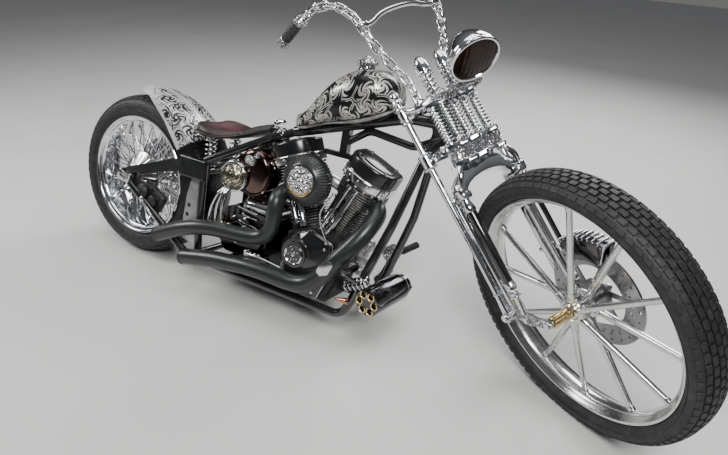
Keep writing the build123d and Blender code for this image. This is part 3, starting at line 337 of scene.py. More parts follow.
def make_tank_paint():
    made = Finish("tank_paint", (0.6, 0.6, 0.6), 0.3, 0.3, Coat_Weight=0.12, Coat_Roughness=0.05)
    x, y, z = made.parts(made.place(BIKE))
    spine = made.sum("MULTIPLY_ADD", made.sum("SUBTRACT", x, 702), 0.36, 684)
    round_about = made.sum("MULTIPLY", made.sum("ARCTAN2", y, made.sum("SUBTRACT", z, spine)), 92)
    leaf = leafwork(made, x, round_about, 54, 13.0, 0.34)
    down = made.sum("ABSOLUTE", round_about)
    band = made.between(made.sum("ABSOLUTE", made.sum("SUBTRACT", down, 190)), 10, 8.5)
    ground = made.between(down, 172, 176, 1.0, 0.0)
    leaf = made.sum("MAXIMUM", made.sum("MULTIPLY", leaf, ground), band)
    return paint_leafwork(made, leaf, (0.70, 0.69, 0.65), (0.36, 0.34, 0.31))


def make_fender_paint():
    """Dark leafwork panels inside light borders, with a ridge line; plain black below the saddle."""
    made = Finish("fender_paint", (0.7, 0.7, 0.7), 0.3, 0.3, Coat_Weight=0.12, Coat_Roughness=0.05)
    x, y, z = made.parts(made.place(REAR_WHEEL))
    turned_to = made.sum("ARCTAN2", z, x)
    far = made.length(x, z)
    side = made.sum("ABSOLUTE", y)
    drop = made.sum("MAXIMUM", made.sum("SUBTRACT", 345, far), 0.0)
    dark = leafwork(made, made.sum("MULTIPLY", turned_to, 366), made.sum("ADD", side, drop), 62, 57.0, 0.39)
    cut = made.sum("ADD", made.between(turned_to, 0.24, 1.05, 263, 292), made.between(turned_to, 1.05, 1.40, 0, 48))
    cut = made.sum("ADD", cut, made.between(turned_to, 1.40, 1.64, 0, 22))
    tail = made.sum("MULTIPLY", made.sum("MULTIPLY", y, y), 0.000022)
    inside = made.sum("MULTIPLY", made.between(side, 18, 20), made.between(made.sum("SUBTRACT", far, cut), 10, 12))
    inside = made.sum("MULTIPLY", inside, made.between(made.sum("ADD", turned_to, tail), 1.545, 1.535))
    leaf = made.sum("SUBTRACT", 1.0, made.sum("MULTIPLY", dark, inside))
    leaf = made.sum("MULTIPLY", leaf, made.between(made.sum("ABSOLUTE", made.sum("SUBTRACT", side, 11)), 1.5, 2.5))
    leaf = made.sum("MULTIPLY", leaf, made.between(turned_to, 0.60, 0.62))
    centre = REAR_WHEEL.to_translation()
    out = made.vector("SUBTRACT", made.node("TexCoord", "Object"), tuple(centre))
    facing = made.vector("DOT_PRODUCT", made.node("TexCoord", "Normal"), out, 1)
    leaf = made.sum("MULTIPLY", leaf, made.between(facing, 0.0, 0.001))
    return paint_leafwork(made, leaf, (0.86, 0.86, 0.85), (0.60, 0.60, 0.60))


def make_leather():
    """Dark saddle leather, with an oxblood inlay sunk in the dish."""
    made = Finish("saddle_leather", (0.05, 0.026, 0.018), 0.0, 0.42)
    x, y, _ = made.parts(made.place(BIKE))
    fore = made.sum("DIVIDE", made.sum("SUBTRACT", x, 392), 74)
    aside = made.sum("DIVIDE", y, 78)
    far = made.length(fore, aside)
    inlay = made.between(far, 1.0, 0.97)
    seam = made.between(made.sum("ABSOLUTE", made.sum("SUBTRACT", far, 1.03)), 0.0, 0.05)
    worn = made.between(made.noise(16, 5), 0.35, 0.75)
    hide = made.blend(worn, (0.020, 0.012, 0.010), (0.060, 0.036, 0.028))
    nose = made.blend(worn, (0.024, 0.022, 0.020), (0.055, 0.050, 0.046))
    hide = made.blend(made.between(x, 470, 530), hide, nose)
    rose = made.blend(worn, (0.040, 0.009, 0.014), (0.095, 0.028, 0.036))
    made.set(Base_Color=made.blend(inlay, hide, rose))
    grain = made.relief(made.cells(620, feature="SMOOTH_F1"), 0.0007, 0.55)
    creases = made.relief(made.noise(70, 4, 1.5), 0.0016, 0.35, grain)
    made.set(Normal=made.relief(seam, 0.002, 0.8, creases))
    made.dull(50, 4, 0.34, 0.52)
    return made


def make_oil_tank_finish():
    """Polished dark metal whose dark reddish-brown colour is a painted reflection of a brown floor and dark
    surroundings.
    """
    made = Finish("oil_tank_painted_reflection", (0.2, 0.1, 0.08), 1.0, 0.1)
    # Painted reflection: dark brown mottled with lighter reddish-brown patches of painted highlight.
    made.set(Base_Color=made.blend(made.noise(9, 4), (0.050, 0.029, 0.025), (0.19, 0.125, 0.11)))
    made.dull(40, 4, 0.06, 0.16)
    made.grain(60, 2, 0.001, 0.15)
    return made


def make_air_cleaner_finish():
    made = Finish("air_cleaner_black", (0.012, 0.013, 0.0135), 0.0, 0.34, Coat_Weight=0.2)
    y = made.parts(made.place(BIKE))[1]
    metal = made.between(y, -129, -128)
    black = made.blend(made.noise(20, 4), (0.008, 0.009, 0.0095), (0.020, 0.022, 0.023))
    made.set(Base_Color=made.blend(metal, black, (0.45, 0.45, 0.44)), Metallic=metal)
    made.dull(70, 4, 0.28, 0.42)
    made.grain(900, 2, 0.0003, 0.3)
    return made


def make_brushed_disc():
    made = Finish("brushed_disc", (0.5, 0.5, 0.51), 1.0, 0.25)
    x, _, z = made.parts(made.place(FRONT_WHEEL))
    far = made.length(x, z)
    lines = made.noise(1.6, 3, at=made.point(far, 0.0))
    made.set(Base_Color=made.blend(lines, (0.17, 0.17, 0.18), (0.44, 0.44, 0.45)))
    made.set(Roughness=made.between(lines, 0.3, 0.7, 0.18, 0.36), Normal=made.relief(lines, 0.0002, 0.3))
    return made


def make_lens():
    """Smoked brown glass over a dark ribbed bowl, with amber glints painted into its colour."""
    made = Finish("smoked_lens", (0.014, 0.006, 0.004), 0.0, 0.12, Specular_IOR_Level=0.2)
    y = made.parts(made.place(FORK))[1]
    # Painted glints: amber patches mottled into the dark brown of the glass.
    painted_glint = made.between(made.noise(24, 3), 0.4, 0.8)
    made.set(Base_Color=made.blend(painted_glint, (0.008, 0.004, 0.003), (0.032, 0.013, 0.007)))
    made.dull(30, 2, 0.08, 0.18)
    ribs = made.sum("SINE", made.sum("MULTIPLY", y, 0.45))
    made.set(Normal=made.relief(ribs, 0.0008, 0.15))
    return made


def make_floor_finish():
    made = Finish("pale_floor", (0.66, 0.65, 0.63), 0.0, 0.65)
    made.set(Base_Color=made.blend(made.noise(1.4, 6), (0.60, 0.59, 0.57), (0.70, 0.69, 0.67)))
    made.dull(5, 5, 0.55, 0.75)
    made.grain(60, 5, 0.002, 0.15)
    return made


pipe_black = make_pipe_black()
tyre_rubber = make_tyre_rubber()
front_fins = make_fins("front_fins", FRONT_CYLINDER)
rear_fins = make_fins("rear_fins", REAR_CYLINDER)
front_rocker = make_rocker("front_rocker", FRONT_CYLINDER)
rear_rocker = make_rocker("rear_rocker", REAR_CYLINDER)
tank_paint = make_tank_paint()
fender_paint = make_fender_paint()
leather = make_leather()
oil_tank_painted_reflection = make_oil_tank_finish()
air_cleaner_black = make_air_cleaner_finish()
brushed_disc = make_brushed_disc()
smoked_lens = make_lens()

NODE_FINISH = {"frame_backbone": frame_enamel, "frame_rear": frame_enamel, "frame_cradle": frame_enamel,
    "rear_axle": bright_alloy, "engine_cases": case_black, "cam_cover": cover_enamel, "cylinder_front": front_fins,
    "cylinder_rear": rear_fins, "rocker_box_front": front_rocker, "rocker_box_rear": rear_rocker,
    "pushrod_tubes": chrome, "air_cleaner": air_cleaner_black, "exhaust_front": pipe_black,
    "exhaust_rear": pipe_black, "gearbox": smoked_chrome, "primary_case": cover_enamel, "drive_chain": case_alloy,
    "oil_tank": oil_tank_painted_reflection, "fuel_tank": tank_paint, "gas_cap": cut_chrome, "seat": leather,
    "seat_springs": chrome, "seat_hinge": chrome, "rear_fender": fender_paint, "rear_caliper": case_black,
    "foot_controls_right": smoked_chrome, "foot_controls_left": case_black, "rear_tyre": tyre_rubber,
    "rear_wheel_rim": chrome, "rear_rotor": brushed_disc, "rear_sprocket": bright_alloy, "fork_frame": chrome,
    "fork_inner_tubes": chrome, "fork_damper_right": chrome, "fork_damper_left": chrome,
    "fork_spring_bank": cut_chrome, "front_axle_rockers": cut_chrome, "front_caliper": smoked_chrome,
    "headlight": chrome, "handlebar": chrome, "grip_left": grip_rubber, "grip_right": grip_rubber,
    "front_tyre": tyre_rubber, "front_wheel_rim": bright_alloy, "front_rotor": brushed_disc,
    "side_stand": frame_enamel, }
for name, finish in NODE_FINISH.items():
    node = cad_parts[name]
    node.data.materials.clear()
    node.data.materials.append(finish.material)


# Workshop: every maker below returns a bmesh in millimetres
def join(*parts):
    whole = bmesh.new()
    for part in parts:
        mesh = bpy.data.meshes.new("part")
        part.to_mesh(mesh)
        part.free()
        whole.from_mesh(mesh)
        bpy.data.meshes.remove(mesh)
    return whole


def moved(part, where):
    part.transform(where)
    return part


def copies(part, places):
    """The part at each place; the part itself is used up."""
    mesh = bpy.data.meshes.new("part")
    part.to_mesh(mesh)
    part.free()
    whole = bmesh.new()
    for place in places:
        one = bmesh.new()
        one.from_mesh(mesh)
        one.transform(place)
        placed = bpy.data.meshes.new("placed")
        one.to_mesh(placed)
        one.free()
        whole.from_mesh(placed)
        bpy.data.meshes.remove(placed)
    bpy.data.meshes.remove(mesh)
    return whole


def ringed(part, count, axis="Z"):
    return copies(part, [turn(360 * i / count, axis) for i in range(count)])


def polar(r, angle, y):
    """Point at a radius and an angle about the Y axis."""
    return (r * math.cos(angle), y, r * math.sin(angle))


def off_right(part, x, y, z):
    """The part standing off the right side, its Z towards -Y."""
    return moved(part, shift(x, y, z) @ turn(90, "X"))


def aimed(at, towards):
    """Place at a point with the local Z towards another point."""
    run = Vector(towards) - Vector(at)
    return shift(*at) @ run.to_track_quat("Z", "Y").to_matrix().to_4x4()


def bar(a, b, r, end=None, sides=16, edge=0.0):
    """Round bar between two points, tapered where end is given, its rims eased by edge."""
    run = (Vector(b) - Vector(a)).length
    part = bmesh.new()
    bmesh.ops.create_cone(part, cap_ends=True, segments=sides, radius1=r, radius2=r if end is None else end,
        depth=run)
    if edge:
        caps = {e for f in part.faces if len(f.verts) > 4 for e in f.edges}
        bmesh.ops.bevel(part, geom=list(caps), offset=edge, segments=2, profile=0.5, affect="EDGES", material=-1)
    part.transform(aimed(a, b) @ shift(0, 0, run / 2))
    return part


def turned(profile, steps=64):
    """A profile of radius and height, spun about Z."""
    part = bmesh.new()
    verts = [part.verts.new((r, 0, h)) for r, h in profile]
    edges = [part.edges.new(pair) for pair in zip(verts, verts[1:])]
    bmesh.ops.spin(part, geom=verts + edges, cent=(0, 0, 0), axis=(0, 0, 1), angle=2 * math.pi, steps=steps,
        use_merge=True)
    bmesh.ops.remove_doubles(part, verts=part.verts, dist=0.01)
    bmesh.ops.recalc_face_normals(part, faces=part.faces)
    return part


def ring(r, wire, steps=48, sides=10):
    """Ring of round wire about Z."""
    part = bmesh.new()
    made = bmesh.ops.create_circle(part, segments=sides, radius=wire, matrix=shift(r, 0, 0) @ turn(90, "X"))
    geom = made["verts"] + list(part.edges)
    bmesh.ops.spin(part, geom=geom, cent=(0, 0, 0), axis=(0, 0, 1), angle=2 * math.pi, steps=steps, use_merge=True)
    bmesh.ops.remove_doubles(part, verts=part.verts, dist=0.001)
    bmesh.ops.recalc_face_normals(part, faces=part.faces)
    return part


def coil(r, wire, height, turns, sides=8, per_turn=18):
    """Coil spring standing on Z 0."""
    steps = int(turns * per_turn)
    part = bmesh.new()
    made = bmesh.ops.create_circle(part, segments=sides, radius=wire, matrix=shift(r, 0, 0) @ turn(90, "X"))
    geom = made["verts"] + list(part.edges)
    bmesh.ops.spin(part, geom=geom, cent=(0, 0, 0), axis=(0, 0, 1), dvec=(0, 0, height / steps),
        angle=2 * math.pi * turns, steps=steps)
    bmesh.ops.holes_fill(part, edges=[e for e in part.edges if e.is_boundary], sides=0)
    bmesh.ops.recalc_face_normals(part, faces=part.faces)
    return part


def chain_link(half_straight, half_width, wire, sides=10, steps=8):
    """Oval link in the XY plane: two straight runs joined by two half turns."""
    part = bmesh.new()
    start = bmesh.ops.create_circle(part, segments=sides, radius=wire, matrix=shift(-half_straight, -half_width,
        0) @ turn(90, "Y"))
    loop = start["verts"] + list(part.edges)
    for side in (1, -1):
        run = bmesh.ops.extrude_edge_only(part, edges=[g for g in loop if isinstance(g, bmesh.types.BMEdge)])
        verts = [g for g in run["geom"] if isinstance(g, bmesh.types.BMVert)]
        bmesh.ops.translate(part, verts=verts, vec=(side * 2 * half_straight, 0, 0))
        edges = [g for g in run["geom"] if isinstance(g, bmesh.types.BMEdge)]
        spun = bmesh.ops.spin(part, geom=verts + edges, cent=(side * half_straight, 0, 0), axis=(0, 0, 1),
            angle=math.pi, steps=steps)
        loop = [g for g in spun["geom_last"] if not isinstance(g, bmesh.types.BMFace)]
    bmesh.ops.remove_doubles(part, verts=part.verts, dist=0.01)
    bmesh.ops.recalc_face_normals(part, faces=part.faces)
    return part


def sheet_metal(outline, thick, edge=0.6):
    """A flat outline in X and Z, standing from y 0 towards -Y, its rims eased."""
    part = bmesh.new()
    face = part.faces.new([part.verts.new((x, 0, z)) for x, z in outline])
    made = bmesh.ops.extrude_face_region(part, geom=[face])
    verts = [g for g in made["geom"] if isinstance(g, bmesh.types.BMVert)]
    bmesh.ops.translate(part, verts=verts, vec=(0, -thick, 0))
    bmesh.ops.recalc_face_normals(part, faces=part.faces)
    if edge:
        bmesh.ops.bevel(part, geom=list(part.edges), offset=edge, segments=2, profile=0.5, affect="EDGES",
            material=-1)
    return part


def billet(size, edge=2.0, segments=3):
    """Rounded block about its middle."""
    part = bmesh.new()
    bmesh.ops.create_cube(part, size=1, matrix=Matrix.Diagonal((*size, 1)))
    bmesh.ops.bevel(part, geom=list(part.edges), offset=edge, segments=segments, profile=0.5, affect="EDGES",
        material=-1)
    return part


def hex_bolt(r, height):
    """Six-sided head on its washer, standing on Z 0."""
    head = bar((0, 0, height * 0.25), (0, 0, height), r, sides=6, edge=r * 0.12)
    return join(head, bar((0, 0, 0), (0, 0, height * 0.28), r * 1.2, sides=20, edge=r * 0.06))


def socket_bolt(r, height):
    return turned([(0, height * 0.5), (r * 0.5, height * 0.5), (r * 0.5, height), (r * 0.85, height),
        (r, height * 0.85), (r, 0), (0, 0)], 20)


def drawn_tube(points, r, sides=6):
    """A bent rod or thin line along a smooth curve."""
    line = bpy.data.curves.new("line", "CURVE")
    line.dimensions = "3D"
    line.bevel_depth = r
    line.bevel_resolution = sides - 2
    line.resolution_u = 10
    line.use_fill_caps = True
    spline = line.splines.new("NURBS")
    spline.points.add(len(points) - 1)
    for point, place in zip(spline.points, points):
        point.co = (*place, 1)
    spline.order_u = 3
    spline.use_endpoint_u = True
    holder = bpy.data.objects.new("line", line)
    bpy.context.scene.collection.objects.link(holder)
    mesh = bpy.data.meshes.new_from_object(holder.evaluated_get(bpy.context.evaluated_depsgraph_get()))
    part = bmesh.new()
    part.from_mesh(mesh)
    bpy.data.objects.remove(holder)
    bpy.data.curves.remove(line)
    bpy.data.meshes.remove(mesh)
    bmesh.ops.remove_doubles(part, verts=part.verts, dist=0.01)
    bmesh.ops.recalc_face_normals(part, faces=part.faces)
    return part


def bored(part, cutter):
    """The part with the cutter's shape taken out of it."""
    holders = []
    for name, shape in (("blank", part), ("cutter", cutter)):
        mesh = bpy.data.meshes.new(name)
        shape.to_mesh(mesh)
        shape.free()
        holders.append(bpy.data.objects.new(name, mesh))
        bpy.context.scene.collection.objects.link(holders[-1])
    cut = holders[0].modifiers.new("cut", "BOOLEAN")
    cut.operation = "DIFFERENCE"
    cut.object = holders[1]
    made = bpy.data.meshes.new_from_object(holders[0].evaluated_get(bpy.context.evaluated_depsgraph_get()))
    whole = bmesh.new()
    whole.from_mesh(made)
    for old in [holder.data for holder in holders] + [made]:
        bpy.data.meshes.remove(old)
    return whole


SLOTS = {"chrome": (chrome, cut_chrome, cut_gilt, brass, copper, front_rocker, rear_rocker),
    "dark_chrome": (smoked_chrome, smoked_lens, oil_tank_painted_reflection), "cast_alloy": (bright_alloy, case_alloy),
    "black_engine": (case_black, cover_enamel, matt_black, air_cleaner_black, front_fins, rear_fins),
    "pipe_black": (pipe_black,), "tyre_rubber": (tyre_rubber,), "leather_brown": (leather,),
    "grip_dark": (grip_rubber,), "steel": (brushed_disc,)}
USUAL_SLOT = {finish.material.name: slot for slot, finishes in SLOTS.items() for finish in finishes}


def fit(name, part, within=BIKE, body="chassis", finish=chrome, slot=None, replaces=(), crease=38):
    """Makes a part, or a list of parts, a piece of the bike: placed, shaded and riding on its body."""
    part = join(*part) if isinstance(part, list) else part
    slot = slot or USUAL_SLOT[finish.material.name]
    part.transform(within)
    mesh = bpy.data.meshes.new(name)
    part.to_mesh(mesh)
    part.free()
    mesh.shade_smooth()
    mesh.set_sharp_from_angle(angle=math.radians(crease))
    mesh.materials.append(finish.material)
    piece = bpy.data.objects.new(name, mesh)
    bpy.context.scene.collection.objects.link(piece)
    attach(piece, body)
    if replaces:
        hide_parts(*replaces)
    return piece


# Wheels
def tread(rows, count, depth, shoulder):
    """Rows of blocks on a tyre: radius, offset, width across, lean, and share of a pitch that the row is staggered."""
    parts = []
    for r, y, width, lean, stagger in rows:
        block_length = 2 * math.pi * r / count * shoulder
        block = bmesh.new()
        bmesh.ops.create_cube(block, size=1, matrix=Matrix.Diagonal((depth, block_length, width, 1)))
        top = [e for e in block.edges if all(v.co.x > 0 for v in e.verts)]
        bmesh.ops.bevel(block, geom=top, offset=1.0, segments=1, profile=0.5, affect="EDGES", material=-1)
        low = [f for f in block.faces if f.calc_center_median().x < -depth * 0.49]
        bmesh.ops.delete(block, geom=low, context="FACES")
        block.transform(shift(r - depth / 2, 0, y) @ turn(-lean, "Y"))
        parts.append(copies(block, [turn(360 * (i + stagger) / count, "Z") for i in range(count)]))
    return join(*parts)


def dress_front_wheel():
    carcass = [(331, 26), (345, 27), (347, 36), (349, 43), (353, 50), (358, 55), (366, 59.5), (374, 60), (382, 58),
        (389, 54), (395, 46), (399, 34), (401, 18), (401.5, 0)]
    carcass += [(r, -y) for r, y in carcass[-2::-1]]
    rows = [(407.5, 0, 15, 0, 0.0), (406.5, 19, 15, 7, 0.5), (406.5, -19, 15, -7, 0.5), (402, 37, 14, 22, 0.0),
        (402, -37, 14, -22, 0.0), (392, 52.5, 12, 46, 0.5), (392, -52.5, 12, -46, 0.5)]
    bands = [moved(ring(363, 1.2, 96, 6), shift(0, 0, side * 58.8)) for side in (1, -1)]
    tyre = join(turned(carcass, 120), tread(rows, 86, 8, 0.74), *bands)
    fit("front_tread_tyre", tyre, FRONT_WHEEL @ ACROSS, "front_wheel", finish=tyre_rubber, replaces=["front_tyre"])

    lip = [(346, 36), (346, 33), (341, 29), (331, 27), (331, -27), (341, -29), (346, -33), (346, -36), (344, -38),
        (340, -38), (337, -36), (335, -30), (327, -24), (322, -14), (319, 0), (322, 14), (327, 24), (335, 30),
        (337, 36), (340, 38), (344, 38), (346, 36)]
    hub = [(10.05, -38), (22, -38), (25, -35), (27, -31), (41, -29), (43, -26), (43, -20), (41, -17), (36, -15),
        (34, 0), (36, 13), (44, 15), (47, 18), (47, 24), (45, 27), (30, 30), (30, 74), (28, 76), (10.05, 76),
        (10.05, -38)]
    spokes = []
    for i in range(12):
        a = math.radians(30 * i - 2.3)
        y = 21 if i % 2 else -23
        start = Vector(polar(34, a, y))
        end = Vector(polar(325, a, y * 0.12))
        run = (end - start).normalized()
        spokes += [bar(start, end, 11, 8.4, 24), bar(start, start + run * 26, 13, 11.6, 24, 0.6),
            bar(end - run * 16, end, 10.4, 11.6, 24, 0.6)]
    valve = bar((-318, 6, 0), (-284, 6, 0), 3.6, 3, 12, 0.5)
    wheel = join(moved(turned(lip, 128), ACROSS), moved(turned(hub, 48), ACROSS), *spokes, valve)
    fit("front_wheel_spoked", wheel, FRONT_WHEEL, "front_wheel", finish=bright_alloy, replaces=["front_wheel_rim"])

    fit("front_rotor_drilled", drilled_rotor(158, 96, 6, 30, 52, 48), FRONT_WHEEL @ shift(0, 73, 0) @ ACROSS,
        "front_wheel", finish=brushed_disc, replaces=["front_rotor"])


def drilled_rotor(outer, inner, thick, bore, boss, holes):
    """Brake disc with real holes: some cells of its grid are inset, opened and rounded."""
    disc = bmesh.new()
    rows = 6
    verts = [disc.verts.new((inner + (outer - inner) * i / rows, 0, 0)) for i in range(rows + 1)]
    edges = [disc.edges.new(pair) for pair in zip(verts, verts[1:])]
    bmesh.ops.spin(disc, geom=verts + edges, cent=(0, 0, 0), axis=(0, 0, 1), angle=2 * math.pi, steps=2 * holes,
        use_merge=True)
    bmesh.ops.remove_doubles(disc, verts=disc.verts, dist=0.01)
    picked = []
    for face in disc.faces:
        middle = face.calc_center_median()
        row = int((middle.xy.length - inner) / (outer - inner) * rows)
        column = int(round(math.atan2(middle.y, middle.x) % (2 * math.pi) / math.pi * holes - 0.5))
        if row in (1, 2, 4) and column % 4 == (0, 1, 2, 0, 3)[row]:
            picked.append(face)
    bmesh.ops.inset_individual(disc, faces=picked, thickness=1.4, use_even_offset=True)
    bmesh.ops.delete(disc, geom=picked, context="FACES")
    bmesh.ops.recalc_face_normals(disc, faces=disc.faces)
    bmesh.ops.solidify(disc, geom=list(disc.faces), thickness=thick)
    low = min(v.co.z for v in disc.verts)
    bmesh.ops.translate(disc, verts=disc.verts, vec=(0, 0, -thick / 2 - low))
    arms = []
    for i in range(6):
        a, b = math.radians(60 * i), math.radians(60 * i + 16)
        tip = Vector((inner + 8, 0, 0))
        outline = [Vector((44 * math.cos(a - 0.22), 44 * math.sin(a - 0.22), 0)),
            Vector((tip.x * math.cos(b - 0.09), tip.x * math.sin(b - 0.09), 0)),
            Vector((tip.x * math.cos(b + 0.09), tip.x * math.sin(b + 0.09), 0)),
            Vector((44 * math.cos(a + 0.22), 44 * math.sin(a + 0.22), 0))]
        arm = sheet_metal([(p.x, p.y) for p in outline], thick * 0.8, 0.5)
        arms.append(moved(arm, turn(-90, "X") @ shift(0, thick * 0.4, 0)))
        arms.append(moved(socket_bolt(5, 3), shift(42 * math.cos(a), 42 * math.sin(a), thick / 2)))
    low, high = -11, thick / 2
    carrier = turned([(bore, low), (boss, low), (boss, high - 1), (boss - 1, high), (bore, high), (bore, low)], 48)
    return join(disc, carrier, *arms)


def dress_rear_wheel():
    carcass = [(233, 75.5), (243.5, 76.3), (249, 80), (256, 85), (265, 88.5), (275, 90), (285, 89.5), (295, 86),
        (303, 80), (309, 72), (315, 58), (318, 40), (319.5, 18), (320, 0)]
    carcass += [(r, -y) for r, y in carcass[-2::-1]]
    rows = [(326, 0, 20, 0, 0.0), (325.5, 25, 20, 3, 0.5), (325.5, -25, 20, -3, 0.5), (322, 49, 19, 12, 0.0),
        (322, -49, 19, -12, 0.0), (313.5, 70, 17, 32, 0.5), (313.5, -70, 17, -32, 0.5)]
    bands = [moved(ring(r, 1.2, 96, 6), shift(0, 0, side * y)) for side in (1, -1) for r,
        y in ((262, 87.6), (290, 87.8))]
    tyre = join(turned(carcass, 112), tread(rows, 60, 7, 0.86), *bands)
    fit("rear_tread_tyre", tyre, REAR_WHEEL @ ACROSS, "rear_wheel", finish=tyre_rubber, replaces=["rear_tyre"])

    lip = [(243, 86), (243, 79), (239, 77), (232, 76), (229, 60), (223, 57), (222, 30), (222, -30), (223, -57),
        (229, -60), (232, -76), (239, -77), (243, -79), (243, -86), (241, -88), (237, -88), (234, -86), (232, -80),
        (226, -77), (224, -70), (219, -66), (217, -50), (214, -40), (213, 0), (214, 40), (217, 50), (219, 66),
        (224, 70), (226, 77), (232, 80), (234, 86), (237, 88), (241, 88), (243, 86)]
    hub = [(10.05, -112), (26, -112), (29, -109), (29, -92), (37, -89), (38, -66), (50, -62), (57, -58), (57, -52),
        (50, -49), (36, -45), (34, 0), (36, 39), (50, 43), (57, 46), (57, 52), (50, 56), (38, 59), (38, 112),
        (35, 116), (10.05, 116), (10.05, -112)]
    wires = []
    for i in range(80):
        a = math.radians(i * 4.5)
        y = -54 if i % 2 else 48
        swing = math.radians(22 if (i // 2) % 2 else -22)
        start = Vector(polar(52, a, y))
        end = Vector((216 * math.cos(a + swing), y * 0.2, 216 * math.sin(a + swing)))
        run = (end - start).normalized()
        wires += [bar(start, end, 2.4, sides=8), bar(end - run * 14, end, 4.2, sides=6),
            bar(start, start + run * 7, 4, sides=8)]
    wheel = join(moved(turned(lip, 128), ACROSS), moved(turned(hub, 48), ACROSS), *wires)
    fit("rear_wire_wheel", wheel, REAR_WHEEL, "rear_wheel", replaces=["rear_wheel_rim"])
    fit("rear_rotor_drilled", drilled_rotor(146, 88, 6, 38, 54, 44), REAR_WHEEL @ shift(0, 63, 0) @ ACROSS,
        "rear_wheel", finish=brushed_disc, replaces=["rear_rotor"])
    petals = []
    for i in range(24):
        a = math.radians(15 * i)
        petals.append(bar(polar(38, a, -98), polar(86, a, -62), 1.8, 2.8, 8, 0.4))
    cover = moved(turned([(12, -113), (30, -113), (34, -110), (35, -101), (48, -90), (70, -72), (88, -61), (93, -57),
        (92, -53), (86, -53), (56, -60), (12, -66)], 96), ACROSS)
    fit("rear_hub_ribs", join(cover, *petals), REAR_WHEEL, "rear_wheel", finish=bright_alloy)


# Handlebar of welded chain links
BAR = [(34, 70, 736), (34, 72, 820), (42, 102, 880), (54, 130, 960), (60, 137, 1010), (50, 144, 1062),
    (34, 158, 1108), (8, 188, 1142), (-14, 210, 1156), (-50, 262, 1147)]


def walk(points, step, ease):
    """Even places along a line whose corners are eased: point and direction, half a step in from each end."""
    points = [Vector(p) for p in points]
    lengths = [(b - a).length for a, b in zip(points, points[1:])]
    whole = sum(lengths)

    def at(s):
        s = min(max(s, 0.0), whole)
        for a, b, run in zip(points, points[1:], lengths):
            if s <= run:
                return a.lerp(b, s / run)
            s -= run
        return points[-1]

    count = round(whole / step)
    spots = []
    for i in range(count):
        s = whole * (i + 0.5) / count
        before, after = at(s - ease), at(s + ease)
        spots.append(((before + after) / 2, (after - before).normalized()))
    return spots


def upright_frame(at, along, face):
    """Place at a point with X along the line and Z as near the face direction as it goes."""
    z = (face - along * face.dot(along)).normalized()
    y = z.cross(along)
    return shift(*at) @ Matrix((along, y, z)).transposed().to_4x4()


def make_handlebar():
    spots = walk(BAR, 34, 12)
    half_pitch = (spots[1][0] - spots[0][0]).length / 2
    places = []
    for i, (at, along) in enumerate(spots):
        face = Vector((-along.z, 0, along.x))
        if i % 2:
            face = along.cross(face)
        places.append(upright_frame(at, along, face))
    one_side = [copies(chain_link(half_pitch + 10.2 - 17, 12.1, 5.0), places)]
    welds = [shift(*((a[0] + b[0]) / 2)) for a, b in zip(spots, spots[1:])]
    bead = bmesh.new()
    bmesh.ops.create_icosphere(bead, subdivisions=2, radius=5.6)
    one_side.append(copies(bead, welds))
    foot = moved(turned([(0, 0), (17, 0), (19, 2), (19, 7), (15, 11), (11, 16), (0, 16)], 32), shift(34, 70, 735))
    clamp = turned([(0, 1), (15, 1), (18, 4), (18, 12), (20, 14), (20, 18), (17, 21), (0, 21)], 32)
    ends = [moved(clamp, aimed((-38, 246, 1149), (-148, 293, 1144)))]
    ends.append(foot)
    half = join(*one_side, *ends)
    other = half.copy()
    other.transform(Matrix.Diagonal((1, -1, 1, 1)))
    bmesh.ops.reverse_faces(other, faces=other.faces)
    cross = [drawn_tube([(60, -137, 1018), (60, -105, 1016), (60, -62, 1040), (60, 0, 1045), (60, 62, 1040),
        (60, 105, 1016), (60, 137, 1018)], 7.5)]
    for y in (-137, 137):
        cross.append(moved(turned([(0, -12), (11, -12), (13, -8), (13, 8), (11, 12), (0, 12)], 24),
            shift(60, y * 0.96, 1020) @ ACROSS))
    fit("chain_handlebar", join(half, other, *cross), FORK, "fork", replaces=["handlebar"])


def make_grips():
    for name, side in (("left", 1), ("right", -1)):
        inner, outer = Vector((-50, 262 * side, 1147)), Vector((-160, 309 * side, 1142))
        place = aimed(inner, outer)
        sleeve = turned([(0, 4), (15.5, 4), (17, 6), (17, 88), (15.5, 90), (0, 90)], 40)
        rings = [moved(ring(16.6, 1.3, 40, 8), shift(0, 0, 16 + 8 * i)) for i in range(9)]
        fit("grip_sleeve_" + name, join(sleeve, *rings), FORK @ place, "fork", finish=grip_rubber,
            replaces=["grip_" + name])
        knob = turned([(0, 88), (16, 88), (19, 91), (19, 96), (16, 99), (17.5, 103), (18.5, 109), (17, 115),
            (12, 119.5), (0, 121)], 40)
        collar = turned([(0, -2), (18, -2), (20, 1), (20, 6), (17.2, 9), (0, 9)], 40)
        flutes = ringed(bar((18.6, 0, 101), (17.6, 0, 116), 2.2, 1.4, 8, 0.3), 12)
        fit("grip_end_" + name, join(knob, collar, flutes), FORK @ place, "fork", finish=cut_chrome)


# Fork
SPRING_ROW = (-72, -36, 0, 36, 72)


